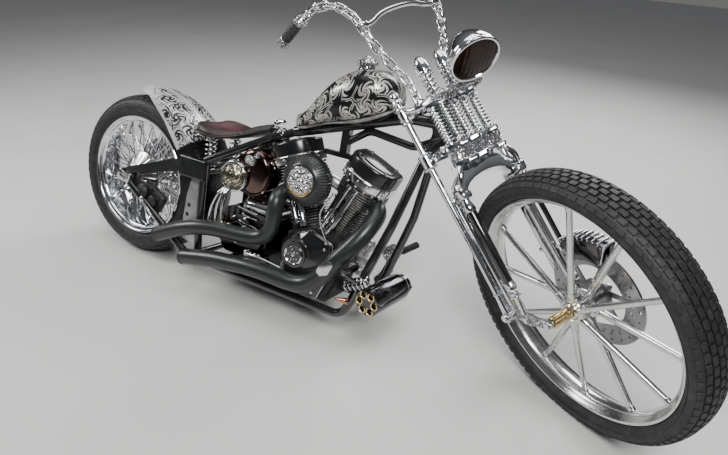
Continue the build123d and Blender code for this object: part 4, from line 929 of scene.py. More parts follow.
def make_spring_bank():
    """Five springs between a deep carved block and a shaped plate, with two tall capped springs above."""
    parts = []
    for y in SPRING_ROW:
        spot = shift(85, y, 572)
        parts.append(moved(coil(12.6, 3.2, 122, 11, 8, 16), spot @ shift(0, 0, 3)))
        parts.append(moved(bar((0, 0, 0), (0, 0, 130), 8.5, sides=16), spot))
        for z in (3, 126):
            parts.append(moved(turned([(0, -4), (15, -4), (17, -2), (17, 2), (15, 4), (0, 4)], 24),
                spot @ shift(0, 0, z)))
        parts.append(moved(hex_bolt(9, 8), shift(85, y, 508) @ turn(180, "X")))
        if abs(y) != 36:
            parts.append(moved(hex_bolt(9, 9), shift(85, y, 711)))
    scallop = [(44, -86), (58, -95), (76, -91), (94, -96), (110, -86), (118, -72), (112, -56), (119, -38), (112, -18),
        (121, 0)]
    scallop += [(x, -y) for x, y in scallop[-2::-1]]
    for low, high in ((508, 519), (562, 573), (700, 711)):
        parts.append(slab_of(scallop, low, high, 2))
    for low, high, x in ((508, 552, 20), (700, 712, 34)):
        parts.append(moved(billet((60 - x, 24, high - low), 3), shift((60 + x) / 2, 0, (low + high) / 2)))
    beads = bmesh.new()
    bmesh.ops.create_uvsphere(beads, u_segments=20, v_segments=12, radius=9.5)
    parts.append(copies(beads, [shift(112, y, 579) for y in (-54, -18, 18, 54)] + [shift(58, -88, 579),
        shift(58, 88, 579)]))
    for y in (-36, 36):
        spot = shift(85, y, 711)
        parts.append(moved(coil(17.8, 4.4, 84, 5.5, 10, 20), spot @ shift(0, 0, 5)))
        parts.append(moved(bar((0, 0, 0), (0, 0, 95), 11, sides=20), spot))
        parts.append(moved(turned([(0, 88), (19, 88), (22.5, 91), (23, 101), (22.6, 113), (20, 126), (15, 138),
            (8.5, 147), (2.5, 151), (0, 151.4)], 40), spot))
        parts.append(moved(ring(22.8, 1.8, 40, 8), spot @ shift(0, 0, 97)))
    fit("spring_bank", parts, FORK, "fork", replaces=["fork_spring_bank"])
    waist = [(54, -80), (104, -80), (108, -72), (104, -54), (109, -36), (104, -18), (110, 0)]
    waist += [(x, -y) for x, y in waist[-2::-1]]
    carved = [slab_of(waist, 518, 563, 1)]
    for y in (-54, -18, 18, 54):
        rose = turned([(0, 6), (6, 5), (8, 3), (13, 4), (15, 1), (15, 0), (0, 0)], 24)
        carved.append(moved(rose, shift(104, y, 541) @ turn(90, "Y")))
    for y in (-81, 81):
        rose = turned([(0, 7), (7, 6), (9, 3), (16, 4), (18, 1), (18, 0), (0, 0)], 28)
        carved.append(moved(rose, shift(79, y, 541) @ turn(90 if y < 0 else -90, "X")))
    fit("bank_carving", carved, FORK, "fork", finish=cut_chrome)
    cross = [bar((113, -58, 722), (113, 88, 722), 12, sides=28, edge=2)]
    cross += [moved(ring(12.5, 2.6, 28, 8), shift(113, y, 722) @ ACROSS) for y in (-50, -30, -10, 10, 30, 50, 70)]
    acorn = turned([(0, -6), (14, -6), (17, -2), (17, 4), (13, 8), (15, 13), (11, 20), (0, 23)], 32)
    cross += [moved(acorn, shift(113, 90, 722) @ ACROSS)]
    fit("bank_crosspiece", cross, FORK, "fork", finish=cut_chrome)


def make_fork_trim():
    """Linked chain across the lower tree, cut collars on the legs and finials."""
    places = []
    for i in range(13):
        y = -120 + 20 * i
        places.append(shift(42 - abs(y) * 0.10, y, 566) @ turn(90, "Z") @ turn(90 * (i % 2) + 20, "X"))
    chain = copies(chain_link(7.5, 7, 3.2, 8, 6), places)
    collars = []
    for y in (-129, 129):
        for z in (545, 589, 700, 748):
            collars.append(moved(ring(15 if z > 650 else 20.5, 3.2, 36, 8), shift(14, y, z)))
        for z in (120, 330):
            collars.append(moved(ring(11.4, 2.4, 30, 8), shift(14, y, z)))
        collars.append(moved(turned([(10, 0), (16, 2), (19, 8), (16, 14), (10, 16)], 32), shift(14, y, 762)))
    fit("tree_chain", join(chain, *collars), FORK, "fork")
    arms = []
    for side in (1, -1):
        arms.append(drawn_tube([(16, side * 128, 736), (40, side * 124, 728), (66, side * 112, 716),
            (84, side * 92, 717), (92, side * 66, 724)], 10))
    fit("tree_arms", arms, FORK, "fork")


def make_lower_fork():
    """Inner tubes under an arched yoke, and gloss black struts with bright ends."""
    inner = []
    for y in (-102, 102):
        inner.append(bar((16, y, 47), (16, y, 428), 16, sides=40, edge=2))
        inner += [moved(ring(16.2, 2.4, 36, 8), shift(16, y, z)) for z in (70, 400)]
    curve = [(88 * math.cos(math.radians(a)), 425 + 40 * math.sin(math.radians(a))) for a in range(180, -1, -20)]
    crown = [(122, 425), (124, 440), (112, 462), (88, 484), (62, 500), (44, 508), (-44, 508), (-62, 500), (-88, 484),
        (-112, 462), (-124, 440), (-122, 425)]
    inner.append(moved(sheet_metal(curve + crown, 44, 3), shift(30, 0, 0) @ turn(90, "Z")))
    for side in (1, -1):
        inner.append(moved(billet((96, 34, 24), 7), shift(46, side * 106, 424)))
        inner.append(drawn_tube([(76, side * 112, 436), (92, side * 108, 462), (98, side * 94, 488),
            (92, side * 82, 510)], 9))
        foot = turned([(0, -16), (15, -16), (18, -12), (18, 10), (14, 15), (16, 20), (11, 27), (0, 29)], 32)
        inner.append(moved(foot, shift(76, side * 113, 432)))
    inner.append(bar((-20, 108, 166), (92, 112, 156), 5.5, sides=20, edge=1))
    for x, y, z in ((-22, 108, 166), (93, 112, 156)):
        inner.append(moved(turned([(0, -9), (6, -7.5), (9, 0), (6, 7.5), (0, 9)], 20), shift(x, y, z)))
    fit("fork_yoke", inner, FORK, "fork", replaces=["fork_inner_tubes"])
    for name, y in (("right", -113), ("left", 113)):
        sleeve = turned([(0, 142), (13, 142), (15, 146), (15.5, 372), (14, 376), (0, 376)], 36)
        ends = turned([(0, 42), (9, 42), (9, 112), (12, 116), (16.5, 120), (17, 140), (14.5, 145), (0, 145)], 36)
        cap = turned([(0, 374), (16.5, 374), (18, 378), (17, 392), (14, 398), (14, 412), (0, 412)], 36)
        nut = moved(hex_bolt(15, 14), shift(0, 0, 96))
        bright = [ends, cap, nut, moved(ring(17, 1.6, 36, 8), shift(0, 0, 130))]
        place = FORK @ (shift(76, y, 0) if y < 0 else shift(80, y, 0) @ Matrix.Diagonal((0.55, 0.55, 1, 1)))
        fit("strut_sleeve_" + name, sleeve, place, "fork", finish=cover_enamel)
        fit("strut_ends_" + name, bright, place, "fork", replaces=["fork_damper_" + name])


def arc_plate(r_in, r_out, first, last, thick, step=8):
    """Plate between two arcs about the axle, thick towards -Y."""
    angles = [first + (last - first) * i / step for i in range(step + 1)]
    outer = [(r_out * math.cos(math.radians(a)), r_out * math.sin(math.radians(a))) for a in angles]
    inside = [(r_in * math.cos(math.radians(a)), r_in * math.sin(math.radians(a))) for a in angles[::-1]]
    return sheet_metal(outer + inside, thick, 3)


def make_front_caliper():
    """Dark caliper over the disc with bright fins, held to the left strut."""
    body = [moved(arc_plate(104, 184, 42, 96, 18), shift(0, 102, 0)), moved(arc_plate(118, 180, 44, 94, 8),
        shift(0, 64, 0)), moved(arc_plate(171, 187, 44, 94, 38), shift(0, 98, 0)),
        moved(billet((76, 10, 26), 4), shift(-50, 108, 150))]
    fit("caliper_body", body, FRONT_WHEEL, "fork", finish=smoked_chrome, replaces=["front_caliper"])
    fins = []
    for i in range(10):
        a = math.radians(44 + 5.6 * i)
        for y, r_in, r_out in ((104, 106, 187), (62, 122, 187)):
            fins.append(bar(polar(r_in, a, y), polar(r_out, a, y), 2.9, sides=10, edge=1))
        fins.append(bar(polar(188, a, 58), polar(188, a, 106), 2.9, sides=10, edge=1))
    for a in (56, 82):
        a = math.radians(a)
        piston = turned([(0, 0), (21, 0), (22, 3), (19, 7), (16, 5), (11, 6), (9, 10), (0, 11)], 36)
        fins.append(moved(piston, shift(*polar(138, a, 103)) @ ACROSS))
    for a, r in ((46, 176), (92, 176), (69, 178), (48, 112), (90, 112)):
        a = math.radians(a)
        fins.append(moved(hex_bolt(6.5, 9), shift(*polar(r, a, 103)) @ ACROSS))
    fit("caliper_fins", fins, FRONT_WHEEL, "fork")


def make_headlight():
    at, look = Vector((276.5, 0, 730)), Vector((0.393, -0.174, -0.903))
    lamp = FORK @ aimed(at, at + look * 100) @ Matrix.Diagonal((0.92, 0.92, 1, 1))
    bucket = [(0, -95), (12, -94.5), (24, -91), (38, -83), (52, -71), (64, -55), (73, -38), (78, -22), (79.5, -12),
        (78, -9), (0, -9)]
    rim = [(70, -9), (79, -11), (81.5, -8), (81.5, -2), (78.5, 1), (74, 0.5), (71.5, -3), (70, -9)]
    shell = join(turned(bucket, 72), turned(rim, 72), moved(billet((14, 12, 8), 2), shift(0, 80, -6)))
    fit("headlight_shell", shell, lamp, "fork", replaces=["headlight"])
    glass = [(0, 1.5), (30, 0.8), (55, -1), (72, -4), (72, -8), (0, -8)]
    fit("headlight_lens", turned(glass, 72), lamp, "fork", finish=smoked_lens)
    arms = [bar((100, 0, 706), (190, 0, 716), 8, sides=20), bar((180, 0, 714), (222, 0, 758), 10, sides=20),
        bar((176, -36, 709), (176, 36, 709), 11, sides=20, edge=2)]
    for y in (-36, 36):
        arms.append(moved(hex_bolt(9, 9), shift(176, y, 709) @ turn(-90 if y > 0 else 90, "X")))
    arms.append(moved(turned([(0, -13), (14, -13), (17, -8), (17, 8), (14, 13), (0, 13)], 32),
        shift(178, 0, 712) @ ACROSS))
    fit("headlight_arm", arms, FORK, "fork", finish=cut_chrome)


ROCKER_OUTLINE = [(0, 52), (8, 62), (22, 64), (42, 50), (70, 45), (90, 40), (120, 24), (156, 14), (169, 8), (173, -2),
    (168, -10), (156, -14), (118, -4), (96, 2), (76, 4), (58, 10), (40, 26), (22, 31), (4, 34), (-2, 42)]


def make_front_axle():
    """Slim rockers, the axle with its brass spacer, and the link bolts."""
    rockers = [bar((160, -124, 0), (160, 124, 0), 9.9, sides=28, edge=1),
        moved(turned([(0, 80), (16, 80), (18, 82), (18, 102), (16, 104), (0, 104)], 36), shift(160, 0, 0) @ ACROSS)]
    for y in (117, -105):
        rockers.append(moved(sheet_metal(ROCKER_OUTLINE, 12, 2), shift(0, y, 0)))
    bosses = ((14, 47, 13), (76, 24, 14), (118, 10, 9), (45, 37, 8))
    for side in (1, -1):
        for x, z, r in bosses:
            boss = turned([(0, 4), (r * 0.5, 4), (r * 0.62, 2.4), (r * 0.8, 3.4), (r, 1.6), (r, 0), (0, 0)], 28)
            rockers.append(moved(boss, shift(x, side * 117, z) @ turn(-90 if side > 0 else 90, "X")))
    fit("link_rockers", rockers, FORK, "fork", finish=cut_chrome, replaces=["front_axle_rockers"])
    spacer = turned([(10.2, 0), (16.5, 0), (17.8, 1.5), (17.8, 63), (16.5, 65), (10.2, 65)], 40)
    fit("axle_spacer", spacer, FORK @ shift(160, -104, 0) @ ACROSS, "fork", finish=brass)
    nuts = []
    for side in (1, -1):
        flip = turn(0 if side > 0 else 180, "X")
        for x, z, r in ((14, 47, 12), (76, 24, 9), (160, 0, 10.5)):
            nuts.append(moved(hex_bolt(r, 9), shift(x, side * (117 if x > 20 else 141), z) @ flip @ ACROSS))
    fit("rocker_bolts", nuts, FORK, "fork")


# Tank, seat and fender
def make_gas_cap():
    cap = BIKE @ shift(935, 0, 900) @ turn(-6, "Y")
    body = turned([(0, -6), (27, -6), (30, 4), (27, 10), (27, 18), (33, 21), (34, 26), (31, 31), (27, 33), (24, 38),
        (15, 42), (11, 44), (9, 48), (5, 50), (0, 50)], 48)
    lobes = ringed(bar((31, 0, 20), (33.5, 0, 32), 6.5, 4.2, 12, 1.2), 8)
    tips = ringed(moved(bar((0, 0, 0), (0, 0, 11), 3.6, 1.2, 10, 0.4), shift(24, 0, 30) @ turn(18, "Y")), 8)
    fit("gas_cap_crown", join(body, lobes, tips), cap, finish=cut_chrome, replaces=["gas_cap"])


SEAT_ROWS = [  # fore-aft, half width, bottom, middle of the top, rim of the top
    (300, 74, 566, 606, 618), (325, 116, 566, 602, 620), (360, 130, 566, 584, 612), (400, 131, 566, 578, 602),
    (440, 116, 570, 583, 598), (490, 82, 586, 602, 606), (550, 46, 610, 640, 638), (598, 30, 634, 664, 662)]
SADDLE_GRID, MOST_SWELL = 0.005, 0.007  # metres
SADDLE_MIDDLE, SADDLE_REACH = 449, 146


def seat_size(x):
    """Half width and heights of the saddle at a place fore and aft."""
    for a, b in zip(SEAT_ROWS, SEAT_ROWS[1:]):
        if x <= b[0]:
            share = max(0.0, (x - a[0]) / (b[0] - a[0]))
            return [p + (q - p) * share for p, q in zip(a[1:], b[1:])]
    return list(SEAT_ROWS[-1][1:])


def make_seat():
    """Dished saddle: a block drawn to shape, filled by a cloth run, then seamed."""
    part = bmesh.new()
    bmesh.ops.create_cube(part, size=2)
    bmesh.ops.subdivide_edges(part, edges=list(part.edges), cuts=15, use_grid_fill=True)
    for v in part.verts:
        x = SADDLE_MIDDLE + SADDLE_REACH * v.co.x
        half, low, middle, rim = seat_size(x)
        side = v.co.y
        top = middle + (rim - middle) * min(1.0, abs(side) * 1.15) ** 2
        drop = 7 * abs(side) ** 6
        share = (v.co.z + 1) / 2
        v.co = (x, half * side * (1 - 0.06 * abs(v.co.z)), low + 3 + (top - drop - low - 3) * share)
    bmesh.ops.smooth_vert(part, verts=part.verts, factor=0.4, use_axis_x=True, use_axis_y=True, use_axis_z=True)
    seat = fit("saddle", part, finish=leather, replaces=["seat"], crease=180)
    bpy.context.view_layer.objects.active = seat
    remesh = seat.modifiers.new("even", "REMESH")
    remesh.mode = "VOXEL"
    remesh.voxel_size = SADDLE_GRID
    remesh.use_smooth_shade = True
    apply_to(seat)
    before = [v.co.copy() for v in seat.data.vertices]
    cloth = seat.modifiers.new("filling", "CLOTH")
    cloth.settings.use_pressure = True
    cloth.settings.uniform_pressure_force = 3.0
    cloth.settings.effector_weights.gravity = 0
    cloth.settings.quality = 5
    cloth.settings.tension_stiffness = 30
    cloth.settings.compression_stiffness = 30
    cloth.settings.bending_stiffness = 2.0
    for step in range(1, 15):
        bpy.context.scene.frame_set(step)
    apply_to(seat)
    for v, start in zip(seat.data.vertices, before):
        change = v.co - start
        if change.length > MOST_SWELL:
            v.co = start + change.normalized() * MOST_SWELL
    bpy.context.scene.frame_set(1)
    finer = seat.modifiers.new("finer", "SUBSURF")
    finer.levels = finer.render_levels = 1
    seat.data.shade_smooth()
    rim_points = []
    for x, side in [(row[0], 1) for row in SEAT_ROWS] + [(row[0], -1) for row in SEAT_ROWS[::-1]]:
        half, low, _, rim = seat_size(x)
        rim_points.append((x, side * (half + 2), low + (rim - low) * 0.32))
    rim_points.append(rim_points[0])
    fit("saddle_welt", drawn_tube(rim_points, 3.2), finish=leather)
    laces = []
    for i in range(36):
        a = 2 * math.pi * i / 36
        x, y = 392 + 79 * math.cos(a), 83 * math.sin(a)
        half, _, middle, rim = seat_size(x)
        side = min(1.0, abs(y) / half * 1.15)
        z = middle + (rim - middle) * side ** 2 + 3.4
        run = Vector((-math.sin(a), math.cos(a), 0)) * 4.5
        laces.append(bar(Vector((x, y, z)) - run, Vector((x, y, z)) + run, 1.3, sides=6))
    fit("saddle_stitches", laces, finish=brass, slot="leather_brown")


def apply_to(piece):
    """Makes what the piece's modifiers give its own mesh."""
    mesh = bpy.data.meshes.new_from_object(piece.evaluated_get(bpy.context.evaluated_depsgraph_get()))
    old = piece.data
    piece.modifiers.clear()
    piece.data = mesh
    mesh.name = piece.name
    if not mesh.materials:
        mesh.materials.append(old.materials[0])


def make_seat_mount():
    parts = []
    for y in (-70, 70):
        spot = shift(364, y, 462)
        parts.append(moved(coil(19.5, 3.8, 98, 5.5, 10, 24), spot @ shift(0, 0, 3)))
        for z in (0, 100):
            parts.append(moved(turned([(0, 0), (22, 0), (24, 2), (24, 5), (18, 7), (0, 7)], 32),
                spot @ shift(0, 0, z - 1)))
        parts.append(moved(bar((0, 0, 0), (0, 0, 104), 7, sides=16), spot))
    parts.append(moved(billet((80, 196, 16), 4), shift(376, 0, 454)))
    fit("saddle_springs", parts, replaces=["seat_springs"])
    clamp = [moved(turned([(20, -9), (25, -9), (26, -6), (26, 6), (25, 9), (20, 9)], 32),
        aimed((640, 0, 624), (690, 0, 648)))]
    clamp.append(off_right(hex_bolt(6, 8), 652, -24, 632))
    fit("rail_clamp", clamp)
    hinge = [moved(billet((40, 30, 30), 4), shift(617, 0, 634)), bar((617, -24, 664), (617, 24, 664), 12.5, sides=24,
        edge=2)]
    for y in (-26, 26):
        hinge.append(moved(hex_bolt(8, 7), shift(617, y * 0.92, 664) @ turn(-90 if y > 0 else 90, "X")))
    fit("saddle_hinge", hinge, replaces=["seat_hinge"])


# Engine
CAM_OUTLINE = [(-88, 0), (-74, 116), (24, 158), (110, 130), (120, 32), (78, -80), (-16, -92), (-70, -84)]


def make_cam_trim():
    edge = [(CRANK[0] + x * 0.985, -121.5, CRANK[1] + z * 0.985) for x, z in CAM_OUTLINE]
    lines = [bar(a, b, 1.9, sides=8) for a, b in zip(edge, edge[1:] + edge[:1])]
    fit("cam_edge", lines, finish=bright_alloy, slot="chrome")
    face = BIKE @ shift(CRANK[0] - 19, -147, CRANK[1] + 60) @ turn(90, "X")
    swell = bmesh.new()
    foot = [swell.verts.new(((x + 19) * 0.93, z - 60 + (60 - z) * 0.07, -19)) for x, z in CAM_OUTLINE]
    outline = [swell.edges.new(pair) for pair in zip(foot, foot[1:] + foot[:1])]
    bmesh.ops.subdivide_edges(swell, edges=outline, cuts=5)
    bmesh.ops.create_circle(swell, segments=48, radius=39, matrix=shift(0, 0, 3))
    bmesh.ops.bridge_loops(swell, edges=list(swell.edges))
    bmesh.ops.subdivide_edges(swell, edges=[e for e in swell.edges if not e.is_boundary], cuts=3)
    bmesh.ops.recalc_face_normals(swell, faces=swell.faces)
    fit("cam_swell", join(swell, turned([(0, 3), (39, 3), (39, -2), (0, -2)], 48)), face, finish=cover_enamel)
    bezel = turned([(31, 2), (44, 1), (46, 5), (44, 11), (39, 13), (35, 10), (32, 7), (31, 2)], 56)
    clock = face @ Matrix.Diagonal((0.82, 0.82, 1, 1))
    fit("timing_bezel", bezel, clock)
    dial = turned([(0, 9), (12, 9.5), (22, 8), (31, 6), (34, 3), (0, 3)], 48)
    fit("timing_dial", dial, clock, finish=cut_chrome, slot="dark_chrome")
    star = ringed(bar((10, 0, 9), (28, 0, 7.4), 3.2, 1.2, 8, 0.3), 5)
    screws = [moved(socket_bolt(3.4, 4), turn(72 * i + 36, "Z") @ shift(24, 0, 7)) for i in range(5)]
    fit("timing_star", join(star, turned([(0, 14), (6, 13), (9, 9), (0, 9)], 24), *screws), clock)
    bolts = []
    for x, z in ((-72, 4), (-60, 100), (20, 138), (92, 114), (100, 30), (64, -66), (-14, -76), (-58, -68)):
        bolts.append(off_right(socket_bolt(5, 5), CRANK[0] + x * 0.93, -128, CRANK[1] + z * 0.93))
    fit("cam_bolts", bolts)


def arched_plan(half, near, back, rise, share=1.0):
    """Plan of a head or rocker box: flat at the back, bowed out towards the pushrods."""
    bow = [(-half, -0.30 * near), (-0.93 * half, -0.56 * near), (-0.72 * half, -0.80 * near),
        (-0.4 * half, -0.95 * near), (0, -near), (0.4 * half, -0.95 * near), (0.72 * half, -0.80 * near),
        (0.93 * half, -0.56 * near), (half, -0.30 * near)]
    rear = [(half, 0.7 * back), (0.86 * half, 0.94 * back), (0.6 * half, back), (0, back + rise), (-0.6 * half, back),
        (-0.86 * half, 0.94 * back), (-half, 0.7 * back)]
    return [(x * share, y * share) for x, y in bow + rear]


def slab_of(plan, low, high, edge=0.0, segments=2):
    """The plan raised between two heights, with its upper rim rounded."""
    part = bmesh.new()
    face = part.faces.new([part.verts.new((x, y, low)) for x, y in plan])
    made = bmesh.ops.extrude_face_region(part, geom=[face])
    verts = [g for g in made["geom"] if isinstance(g, bmesh.types.BMVert)]
    bmesh.ops.translate(part, verts=verts, vec=(0, 0, high - low))
    bmesh.ops.recalc_face_normals(part, faces=part.faces)
    if edge:
        rim = [e for e in part.edges if all(v.co.z > (low + high) / 2 for v in e.verts)]
        bmesh.ops.bevel(part, geom=rim, offset=edge, segments=segments, profile=0.5, affect="EDGES", material=-1)
    return part


FIN_COUNT, LOWEST_FIN, FIN_PITCH, FIN_THICK, HEAD_FOOT = 25, 128, 9.8, 3.0, 292


def make_top_end():
    """Fine fins, bowed heads and rocker boxes of both cylinders."""
    for name, within, fins, rocker, wide in (("front", FRONT_CYLINDER, front_fins, front_rocker, 92),
                                             ("rear", REAR_CYLINDER, rear_fins, rear_rocker, 94)):
        barrel = [turned([(0, 118), (57, 118), (57, 372), (0, 372)], 48)]
        for i in range(FIN_COUNT):
            z = LOWEST_FIN + FIN_PITCH * i
            if z < HEAD_FOOT:
                plan = arched_plan(69, 69, 67, 0)
            else:
                plan = arched_plan(80, 70 + min(16, (z - HEAD_FOOT) * 0.5), 72, 0)
            barrel.append(slab_of(plan, z, z + FIN_THICK))
        fit("cylinder_fins_" + name, barrel, within, finish=fins, replaces=["cylinder_" + name])
        band = slab_of(arched_plan(wide, 94, 54, 4), 373, 401, 4, 3)
        lid = slab_of(arched_plan(wide, 92, 52, 4, 0.97), 408, 452, 9, 4)
        step = slab_of(arched_plan(wide, 92, 52, 4, 0.95), 400, 409)
        crown = slab_of(arched_plan(wide, 92, 52, 4, 0.76), 451, 456, 3, 2)
        fit("rocker_cover_" + name, join(band, step, lid, crown), within, finish=rocker,
            replaces=["rocker_box_" + name])
        bolts = []
        for x, y in arched_plan(wide, 94, 54, 4)[1:8] + [(wide * 0.86, 50), (-wide * 0.86, 50)]:
            bolts.append(moved(hex_bolt(5, 7), shift(x * 0.95, y * 0.95, 371) @ turn(180, "X")))
            bolts.append(moved(socket_bolt(3.6, 5), shift(x * 1.005, y * 1.005,
                388) @ turn(math.degrees(math.atan2(y, x)), "Z") @ turn(90, "Y")))
        for x in (-0.6, 0.6):
            for y in (-58, 30):
                bolts.append(moved(socket_bolt(5, 4), shift(x * wide, y, 455)))
        fit("head_bolts_" + name, bolts, within)


def make_pushrods():
    """Telescoping tubes from the cam case up to the underside of the heads."""
    tubes, seals = [], []
    for within, heads in ((FRONT_CYLINDER, (-20, 9)), (REAR_CYLINDER, (20, -9))):
        side = 1 if heads[0] < 0 else -1
        for foot, ahead in zip((30, 62), heads):
            low = Vector((CRANK[0] + side * foot, -94, CRANK[1] + 152))
            high = BIKE.inverted() @ within @ Vector((ahead, -74, 352))
            run = (high - low).length
            tube = turned([(0, 0), (14, 0), (14, 10), (11.2, 13), (11.2, run * 0.44), (8.2, run * 0.47),
                (8.2, run - 14), (12.5, run - 12), (12.5, run), (0, run)], 28)
            tubes.append(moved(tube, aimed(low, high)))
            for share in (0.06, 0.44, 0.5):
                seals.append(moved(ring(12.0 if share < 0.45 else 9.2, 1.7, 28, 8),
                    aimed(low.lerp(high, share), high)))
    fit("pushrod_covers", tubes, replaces=["pushrod_tubes"])
    fit("pushrod_seals", seals, finish=matt_black)


def make_air_cleaner():
    """Ribbed drum that tapers to a bright insert, on its carburettor and manifold."""
    face = BIKE @ shift(AIR_X, -186, AIR_Z) @ turn(90, "X")
    drum = turned([(0, -54), (80, -54), (86, -50), (87, -44), (86, -24), (80, -16), (60, 1), (55, 4), (50, 4),
        (50, -6), (0, -6)], 96)
    ribs = ringed(join(bar((86, 0, -50), (85, 0, -22), 3.0, sides=8), bar((85, 0, -22), (62, 0, -1), 3.0, 1.8, 8)),
        54)
    throat = turned([(0, -142), (34, -142), (34, -60), (46, -56), (0, -54)], 48)
    bowl = moved(turned([(0, 0), (27, 0), (27, -50), (20, -62), (0, -64)], 40), shift(AIR_X, -88, AIR_Z))
    fit("air_drum", join(drum, ribs), face, finish=air_cleaner_black, replaces=["air_cleaner"])
    fit("carburettor", throat, face, finish=case_alloy)
    fit("float_bowl", bowl, finish=case_alloy)
    pipes = [drawn_tube([(AIR_X, -46, AIR_Z), (AIR_X, 0, AIR_Z - 2), (CRANK[0] + side * 70, 0, CRANK[1] + 290)], 22,
        8) for side in (-1, 1)]
    fit("manifold", pipes, finish=case_alloy)
    insert = turned([(50, 2), (50, 9), (47, 11), (44, 9.5), (42, 9), (40, 11), (34, 12), (0, 12), (0, 2), (50, 2)],
        72)
    fit("air_insert", insert, face, finish=cut_chrome)
    petal = turned([(0, 3), (4, 2.6), (6.5, 0), (0, 0)], 16)
    petals = ringed(moved(petal, shift(28, 0, 11.5) @ Matrix.Diagonal((1.9, 1, 1, 1))), 10)
    boss = turned([(0, 18), (6, 17), (10, 14), (12, 11), (0, 11)], 32)
    fit("air_petals", join(petals, boss, moved(ring(38, 1.3, 56, 8), shift(0, 0, 11.6))), face)
    crescent = []
    for i in range(13):
        a = math.radians(-20 - 11 * i)
        size = 6.5 - 0.09 * (i - 6) ** 2
        crescent.append(moved(turned([(0, 4.5), (size * 0.6, 4), (size, 1), (size, 0), (0, 0)], 16),
            shift(45.5 * math.cos(a), 45.5 * math.sin(a), 9.4)))
    fit("air_crescent", crescent, face, finish=brass)


def make_engine_plumbing():
    breather = [(CRANK[0] + 92, -138, 500), (CRANK[0] + 62, -146, 455), (CRANK[0] + 54, -146, 418),
        (CRANK[0] + 72, -142, 372), (CRANK[0] + 92, -134, 330)]
    ends = [moved(turned([(0, -5), (6, -5), (7, -3), (7, 3), (6, 5), (0, 5)], 16), shift(*breather[0])),
        moved(turned([(0, -5), (6, -5), (7, -3), (7, 3), (6, 5), (0, 5)], 16), shift(*breather[-1]))]
    fit("breather_line", join(drawn_tube(breather, 2.8), *ends))
    link = [drawn_tube([(640, -150, 196), (690, -160, 205), (740, -158, 200), (800, -150, 190)], 5),
        moved(billet((34, 10, 22), 4), shift(655, -152, 200)), moved(billet((26, 10, 16), 4), shift(700, -158, 206))]
    fit("shift_linkage", link)
    ball = [moved(turned([(0, -24), (14, -20), (23, -8), (24, 2), (20, 14), (11, 21), (0, 23)], 32),
        shift(1084, -62, 346)), bar((1084, -62, 346), (1074, -52, 292), 9, sides=16),
        moved(billet((46, 30, 30), 5), shift(1070, -56, 286))]
    ball += [moved(ring(15, 2.6, 24, 8), shift(1034, -66, 248) @ turn(90, "Y") @ shift(0, 0, 8 * i))
        for i in range(6)]
    ball.append(bar((1028, -66, 248), (1082, -62, 252), 13, sides=20))
    fit("front_regulator", ball, finish=case_alloy)


FRONT_PIPE = [(1056, -26, 478), (1080, -38, 470), (1097, -66, 450), (1092, -100, 417), (1075, -130, 374),
    (1045, -153, 325), (1016, -167, 282), (972, -171, 214), (918, -171, 172), (850, -171, 162), (760, -172, 165),
    (670, -172, 160), (600, -172, 150), (500, -176, 138), (375, -180, 107)]
REAR_PIPE = [(722, -60, 442), (726, -98, 438), (734, -128, 424), (737, -137, 392), (737, -136, 350), (728, -136, 300),
    (696, -137, 270), (640, -143, 258), (560, -149, 254), (490, -160, 250), (430, -173, 240), (370, -180, 222),
    (300, -186, 190), (245, -191, 160)]


def make_exhausts():
    """Satin black pipes swept in one smooth curve each, their rear ends lipped round a matt black disc that is painted
    shade for the open bore.
    """
    for name, line, r in (("front", FRONT_PIPE, 31), ("rear", REAR_PIPE, 29)):
        pipe = drawn_tube(line, r, 12)
        before, end = Vector(line[-2]), Vector(line[-1])
        place = aimed(before, end) @ shift(0, 0, (end - before).length)
        lip = turned([(r - 5, -3), (r - 5, 1.5), (r - 2, 3), (r + 0.8, 1.5), (r + 1.2, -6), (r - 0.6, -7)], 48)
        port = turned([(0, -8), (r + 9, -8), (r + 9, -2), (r + 3, 0), (r + 3, 10), (0, 10)], 40)
        start = aimed(line[0], line[1])
        fit("exhaust_pipe_" + name, join(pipe, moved(lip, place)), finish=pipe_black, replaces=["exhaust_" + name])
        fit("exhaust_port_" + name, moved(port, start))
        # Painted shade: a matt black disc inside the lip stands for the dark inside of the open pipe.
        fit("pipe_end_painted_shade_" + name, turned([(0, 0.6), (r - 4, 0.6), (r - 4, -2), (0, -2)], 40), BIKE @ place,
            finish=matt_black, slot="pipe_black")
    blade = [(-26, -15), (-19, 15), (8, 35), (38, 41), (37, 23), (21, -14), (-8, -27)]
    part = sheet_metal(blade, 5, 2)
    fit("heat_shield", moved(part, turn(4, "Z") @ Matrix.Scale(0.88, 4)), BIKE @ shift(1000, -201, 262),
        finish=bright_alloy, slot="chrome")


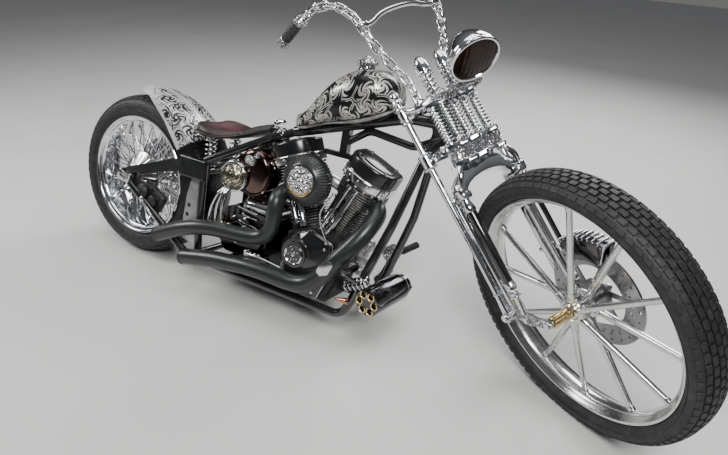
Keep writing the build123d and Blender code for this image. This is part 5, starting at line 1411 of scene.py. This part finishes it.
# Rear end
def make_rear_trim():
    trim = []
    for side in (-1, 1):
        trim.append(moved(billet((64, 9, 34), 4), shift(-4, side * 148, 328) @ turn(24, "Y")))
        trim.append(moved(hex_bolt(16, 13), shift(0, side * 151, 326) @ turn(90 if side < 0 else -90, "X")))
        for x, z in ((-24, 316), (20, 336)):
            trim.append(moved(hex_bolt(6, 7), shift(x, side * 151, z) @ turn(90 if side < 0 else -90, "X")))
        trim.append(bar((-30, side * 148, 318), (-52, side * 148, 308), 5, sides=16, edge=1))
    fit("axle_blocks", trim, finish=bright_alloy)
    drum = [off_right(turned([(0, 0), (26, 0), (30, 4), (30, 16), (26, 20), (20, 18), (17, 21), (8, 22), (7, 27),
        (0, 27)], 40), 84, -118, 284), off_right(turned([(0, 0), (21, 0), (23, 3), (23, 12), (18, 15), (0, 16)], 36),
        136, -118, 254), moved(billet((124, 34, 84), 14, 4), shift(118, -101, 265) @ turn(27, "Y")),
        moved(billet((72, 10, 40), 4), shift(62, -122, 306) @ turn(20, "Y"))]
    for x, z in ((84, 246), (160, 268), (122, 302), (130, 216)):
        drum.append(off_right(socket_bolt(6, 6), x, -118, z))
    fit("right_caliper", drum, finish=case_black)
    knob = [off_right(turned([(0, 0), (8, 0), (10, 4), (10, 11), (6, 15), (0, 16)], 24), 112, -148, 262),
        drawn_tube([(112, -156, 262), (130, -158, 244), (170, -150, 206), (205, -146, 178)], 3)]
    fit("brake_rod", knob)
    panel = sheet_metal([(300, 150), (384, 136), (388, 404), (330, 404), (312, 330), (302, 240)], 3, 0.4)
    spots = [(318, 176), (318, 214), (320, 252), (326, 290)]
    fit("side_panel", panel, BIKE @ shift(0, -116, 0), finish=case_alloy)
    # Painted shade: thin matt black discs on the panel stand for the dark inside of its holes.
    hole_shade_discs = [off_right(turned([(0, 1.6), (7, 1.6), (8.5, 0), (0, 0)], 20), x, -119, z) for x, z in spots]
    fit("panel_hole_painted_shade", hole_shade_discs, finish=matt_black)


def make_oil_tank_trim():
    dome = BIKE @ shift(524, -118, 453) @ turn(90, "X")
    barrel = turned([(0, -104), (58, -104), (68, -100), (72, -94), (72, 94), (68, 100), (58, 104), (0, 104)], 64)
    barrel.transform(shift(594, 0, 481) @ ACROSS @ Matrix.Diagonal((1, 1.16, 1, 1)))
    seams = [moved(ring(72, 2.2, 64, 8), shift(594, 0, 481) @ ACROSS @ Matrix.Diagonal((1, 1.16, 1, 1)) @ shift(0, 0,
        y)) for y in (-92, 92)]
    strap = moved(billet((80, 120, 74), 6), shift(600, 0, 366))
    # The barrel's dark reddish-brown colour is a painted reflection, set in its finish.
    fit("oil_barrel", join(barrel, strap, *seams), finish=oil_tank_painted_reflection, replaces=["oil_tank"])
    cover = turned([(0, 31), (14, 30), (28, 25), (40, 16.5), (48, 6), (52, -6), (53, -14), (53, -50), (0, -50)], 64)
    fit("oil_dome", cover, dome, finish=cut_gilt)
    fit("oil_dome_ring", join(ring(54, 3.2, 64, 10), moved(ring(54, 2.2, 64, 8), shift(0, 0, -10))), dome)
    lines = []
    for i in range(3):
        foot = 447 + 33 * i
        lines.append(drawn_tube([(490 + 12 * i, -112, 404), (480 + 12 * i, -132, 390), (464 + 20 * i, -138, 352),
            (450 + 27 * i, -139, 306), (foot, -138, 256)], 5.2))
    fit("oil_lines", lines)
    starter = [bar((560, -62, 352), (676, -62, 352), 25, sides=40, edge=3),
        bar((676, -62, 352), (692, -62, 352), 14, sides=24)]
    starter += [moved(ring(25.5, 1.8, 40, 8), shift(x, -62, 352) @ turn(90, "Y")) for x in (572, 600, 664)]
    fit("starter_motor", starter)
    bracket = [off_right(ring(13, 4, 32, 10), 580, -110, 528), off_right(turned([(0, 0), (17, 0), (19, 5), (14, 12),
        (7, 16), (0, 17)], 32), 588, -104, 524), off_right(hex_bolt(9, 9), 612, -104, 548)]
    fit("oil_bracket", bracket, finish=cut_chrome)
    unions = []
    for x, z in ((447, 257), (481, 262), (516, 274)):
        unions.append(moved(hex_bolt(9, 12), shift(x, -138, z - 6)))
    fit("oil_unions", unions, finish=brass)


def make_gearbox_trim():
    strips = [moved(billet((96, 8, 7), 2), shift(585, -92, 336) @ turn(6, "Y")),
        moved(billet((70, 8, 7), 2), shift(600, -92, 312) @ turn(6, "Y"))]
    strips += [off_right(ring(31, 2.4, 40, 8), 560, -109, 256)]
    strips += [moved(billet((88, 7, 5), 2), shift(600, -98, 284 - 11 * i) @ turn(8, "Y")) for i in range(6)]
    for x, z in ((508, 262), (534, 300), (586, 306), (640, 262), (654, 226), (612, 186), (556, 204), (520, 222)):
        strips.append(off_right(socket_bolt(5.5, 6), x, -99, z))
    fit("gearbox_trim", strips)
    left = []
    for i in range(12):
        a = math.radians(30 * i)
        left.append(moved(socket_bolt(5, 5), shift(575 + 72 * math.cos(a), 168, 238 + 72 * math.sin(a)) @ turn(-90,
            "X")))
    for x, z in ((700, 300), (780, 296), (700, 150), (780, 128), (940, 250), (930, 150)):
        left.append(moved(socket_bolt(5, 5), shift(x, 167, z) @ turn(-90, "X")))
    left.append(moved(turned([(0, 0), (46, 0), (48, 3), (42, 6), (20, 8), (0, 8)], 56),
        shift(575, 174, 238) @ ACROSS))
    fit("primary_bolts", left)


def make_controls_trim():
    face = BIKE @ aimed((1233, -326, 268), (1262, -150, 288))
    spots = [turn(60 * i, "Z") @ shift(27, 0, 0) for i in range(6)]
    drum = turned([(0, -5), (38, -5), (41, -3.5), (42, 0), (42, 150), (40.5, 156), (36, 160), (0, 160)], 72)
    drum = bored(drum, copies(bar((0, 0, -12), (0, 0, 10), 8.6, sides=32), spots))
    fit("peg_drum", drum, face, finish=smoked_chrome)
    rings = turned([(8.4, -3), (12, -4), (12.6, -6.4), (10, -7.2), (8.8, -5.8), (8.4, -3)], 32)
    fit("peg_rings", copies(rings, spots), face, finish=brass)
    # Painted shade: matt black cups sit at the bottom of the six bores to darken them.
    bore_shade_cups = turned([(0, 9), (6, 9), (7.4, 8), (7.4, 6), (8.4, 5.6), (8.4, 9.8), (0, 9.8)], 28)
    fit("peg_bore_painted_shade", copies(bore_shade_cups, spots), face, finish=matt_black)
    master = BIKE @ aimed((1064, -150, 214), (1142, -150, 252))
    fins = [moved(ring(19.5, 2.6, 32, 8), shift(0, 0, 10 + 16 * i)) for i in range(5)]
    cap = turned([(0, 82), (18, 82), (20, 85), (20, 92), (15, 96), (0, 97)], 32)
    fit("master_fins", join(cap, *fins), master)
    spike = BIKE @ aimed((1096, -166, 172), (1040, -166, 164))
    fit("copper_spike", turned([(0, 2), (11, 2), (12, 8), (10, 14), (8, 30), (4, 50), (0, 58)], 28), spike,
        finish=copper)
    toe = BIKE @ aimed((1112, 176, 276), (1146, 240, 302))
    knurls = [moved(ring(11.2, 2.2, 24, 8), shift(0, 0, 6 + 7.5 * i)) for i in range(10)]
    fit("toe_knurls", knurls, toe, finish=matt_black)
    disc = BIKE @ shift(1086, 0, 270) @ ACROSS
    plate = turned([(0, 124), (22, 124), (29, 126.5), (30, 128), (0, 128)], 40)
    fit("left_drum_face", plate, disc, finish=cut_chrome)


def light_studio():
    world = bpy.data.worlds.new("studio")
    bpy.context.scene.world = world
    world.use_nodes = True
    nodes, links = world.node_tree.nodes, world.node_tree.links
    coords = nodes.new("ShaderNodeTexCoord")
    apart = nodes.new("ShaderNodeSeparateXYZ")
    ramp = nodes.new("ShaderNodeValToRGB")
    ramp.color_ramp.elements[0].position = 0.47
    ramp.color_ramp.elements[0].color = (0.22, 0.22, 0.21, 1)
    ramp.color_ramp.elements[1].position = 1.0
    ramp.color_ramp.elements[1].color = (0.30, 0.31, 0.33, 1)
    dark = ramp.color_ramp.elements.new(0.60)
    dark.color = (0.035, 0.037, 0.040, 1)
    scale = nodes.new("ShaderNodeMapRange")
    scale.inputs[1].default_value = -1
    links.new(coords.outputs["Generated"], apart.inputs[0])
    links.new(apart.outputs[2], scale.inputs[0])
    links.new(scale.outputs[0], ramp.inputs[0])
    links.new(ramp.outputs[0], nodes["Background"].inputs[0])
    nodes["Background"].inputs[1].default_value = 0.7
    for name, at, to, size, power in (("key", (1.6, -2.6, 3.4), (0, 0, 0.5), 1.3, 150),
            ("fill", (-3.2, -1.2, 2.4), (0, 0, 0.4), 1.3, 75), ("rim", (0.4, 3.2, 2.8), (0, 0, 0.5), 2.0, 120),
            ("top", (-0.4, 0.2, 4.2), (0, 0, 0), 2.6, 70)):
        lamp = bpy.data.lights.new(name, "AREA")
        lamp.shape = "SQUARE"
        lamp.size = size
        lamp.energy = power
        holder = bpy.data.objects.new(name, lamp)
        run = Vector(to) - Vector(at)
        holder.matrix_world = shift(*at) @ run.to_track_quat("-Z", "Y").to_matrix().to_4x4()
        bpy.context.scene.collection.objects.link(holder)
    floor_mesh = bmesh.new()
    bmesh.ops.create_grid(floor_mesh, x_segments=2, y_segments=2, size=14)
    mesh = bpy.data.meshes.new("floor")
    floor_mesh.to_mesh(mesh)
    floor_mesh.free()
    mesh.materials.append(make_floor_finish().material)
    floor = bpy.data.objects.new("floor", mesh)
    bpy.context.scene.collection.objects.link(floor)
    floor.location.z = -0.0005  # just under the CAD's lowest point; the tread sinks in a little


light_studio()
dress_front_wheel()
dress_rear_wheel()
make_handlebar()
make_grips()
make_spring_bank()
make_fork_trim()
make_lower_fork()
make_front_caliper()
make_headlight()
make_front_axle()
make_gas_cap()
make_seat()
make_seat_mount()
make_cam_trim()
make_top_end()
make_pushrods()
make_air_cleaner()
make_engine_plumbing()
make_exhausts()
make_rear_trim()
make_oil_tank_trim()
make_gearbox_trim()
make_controls_trim()
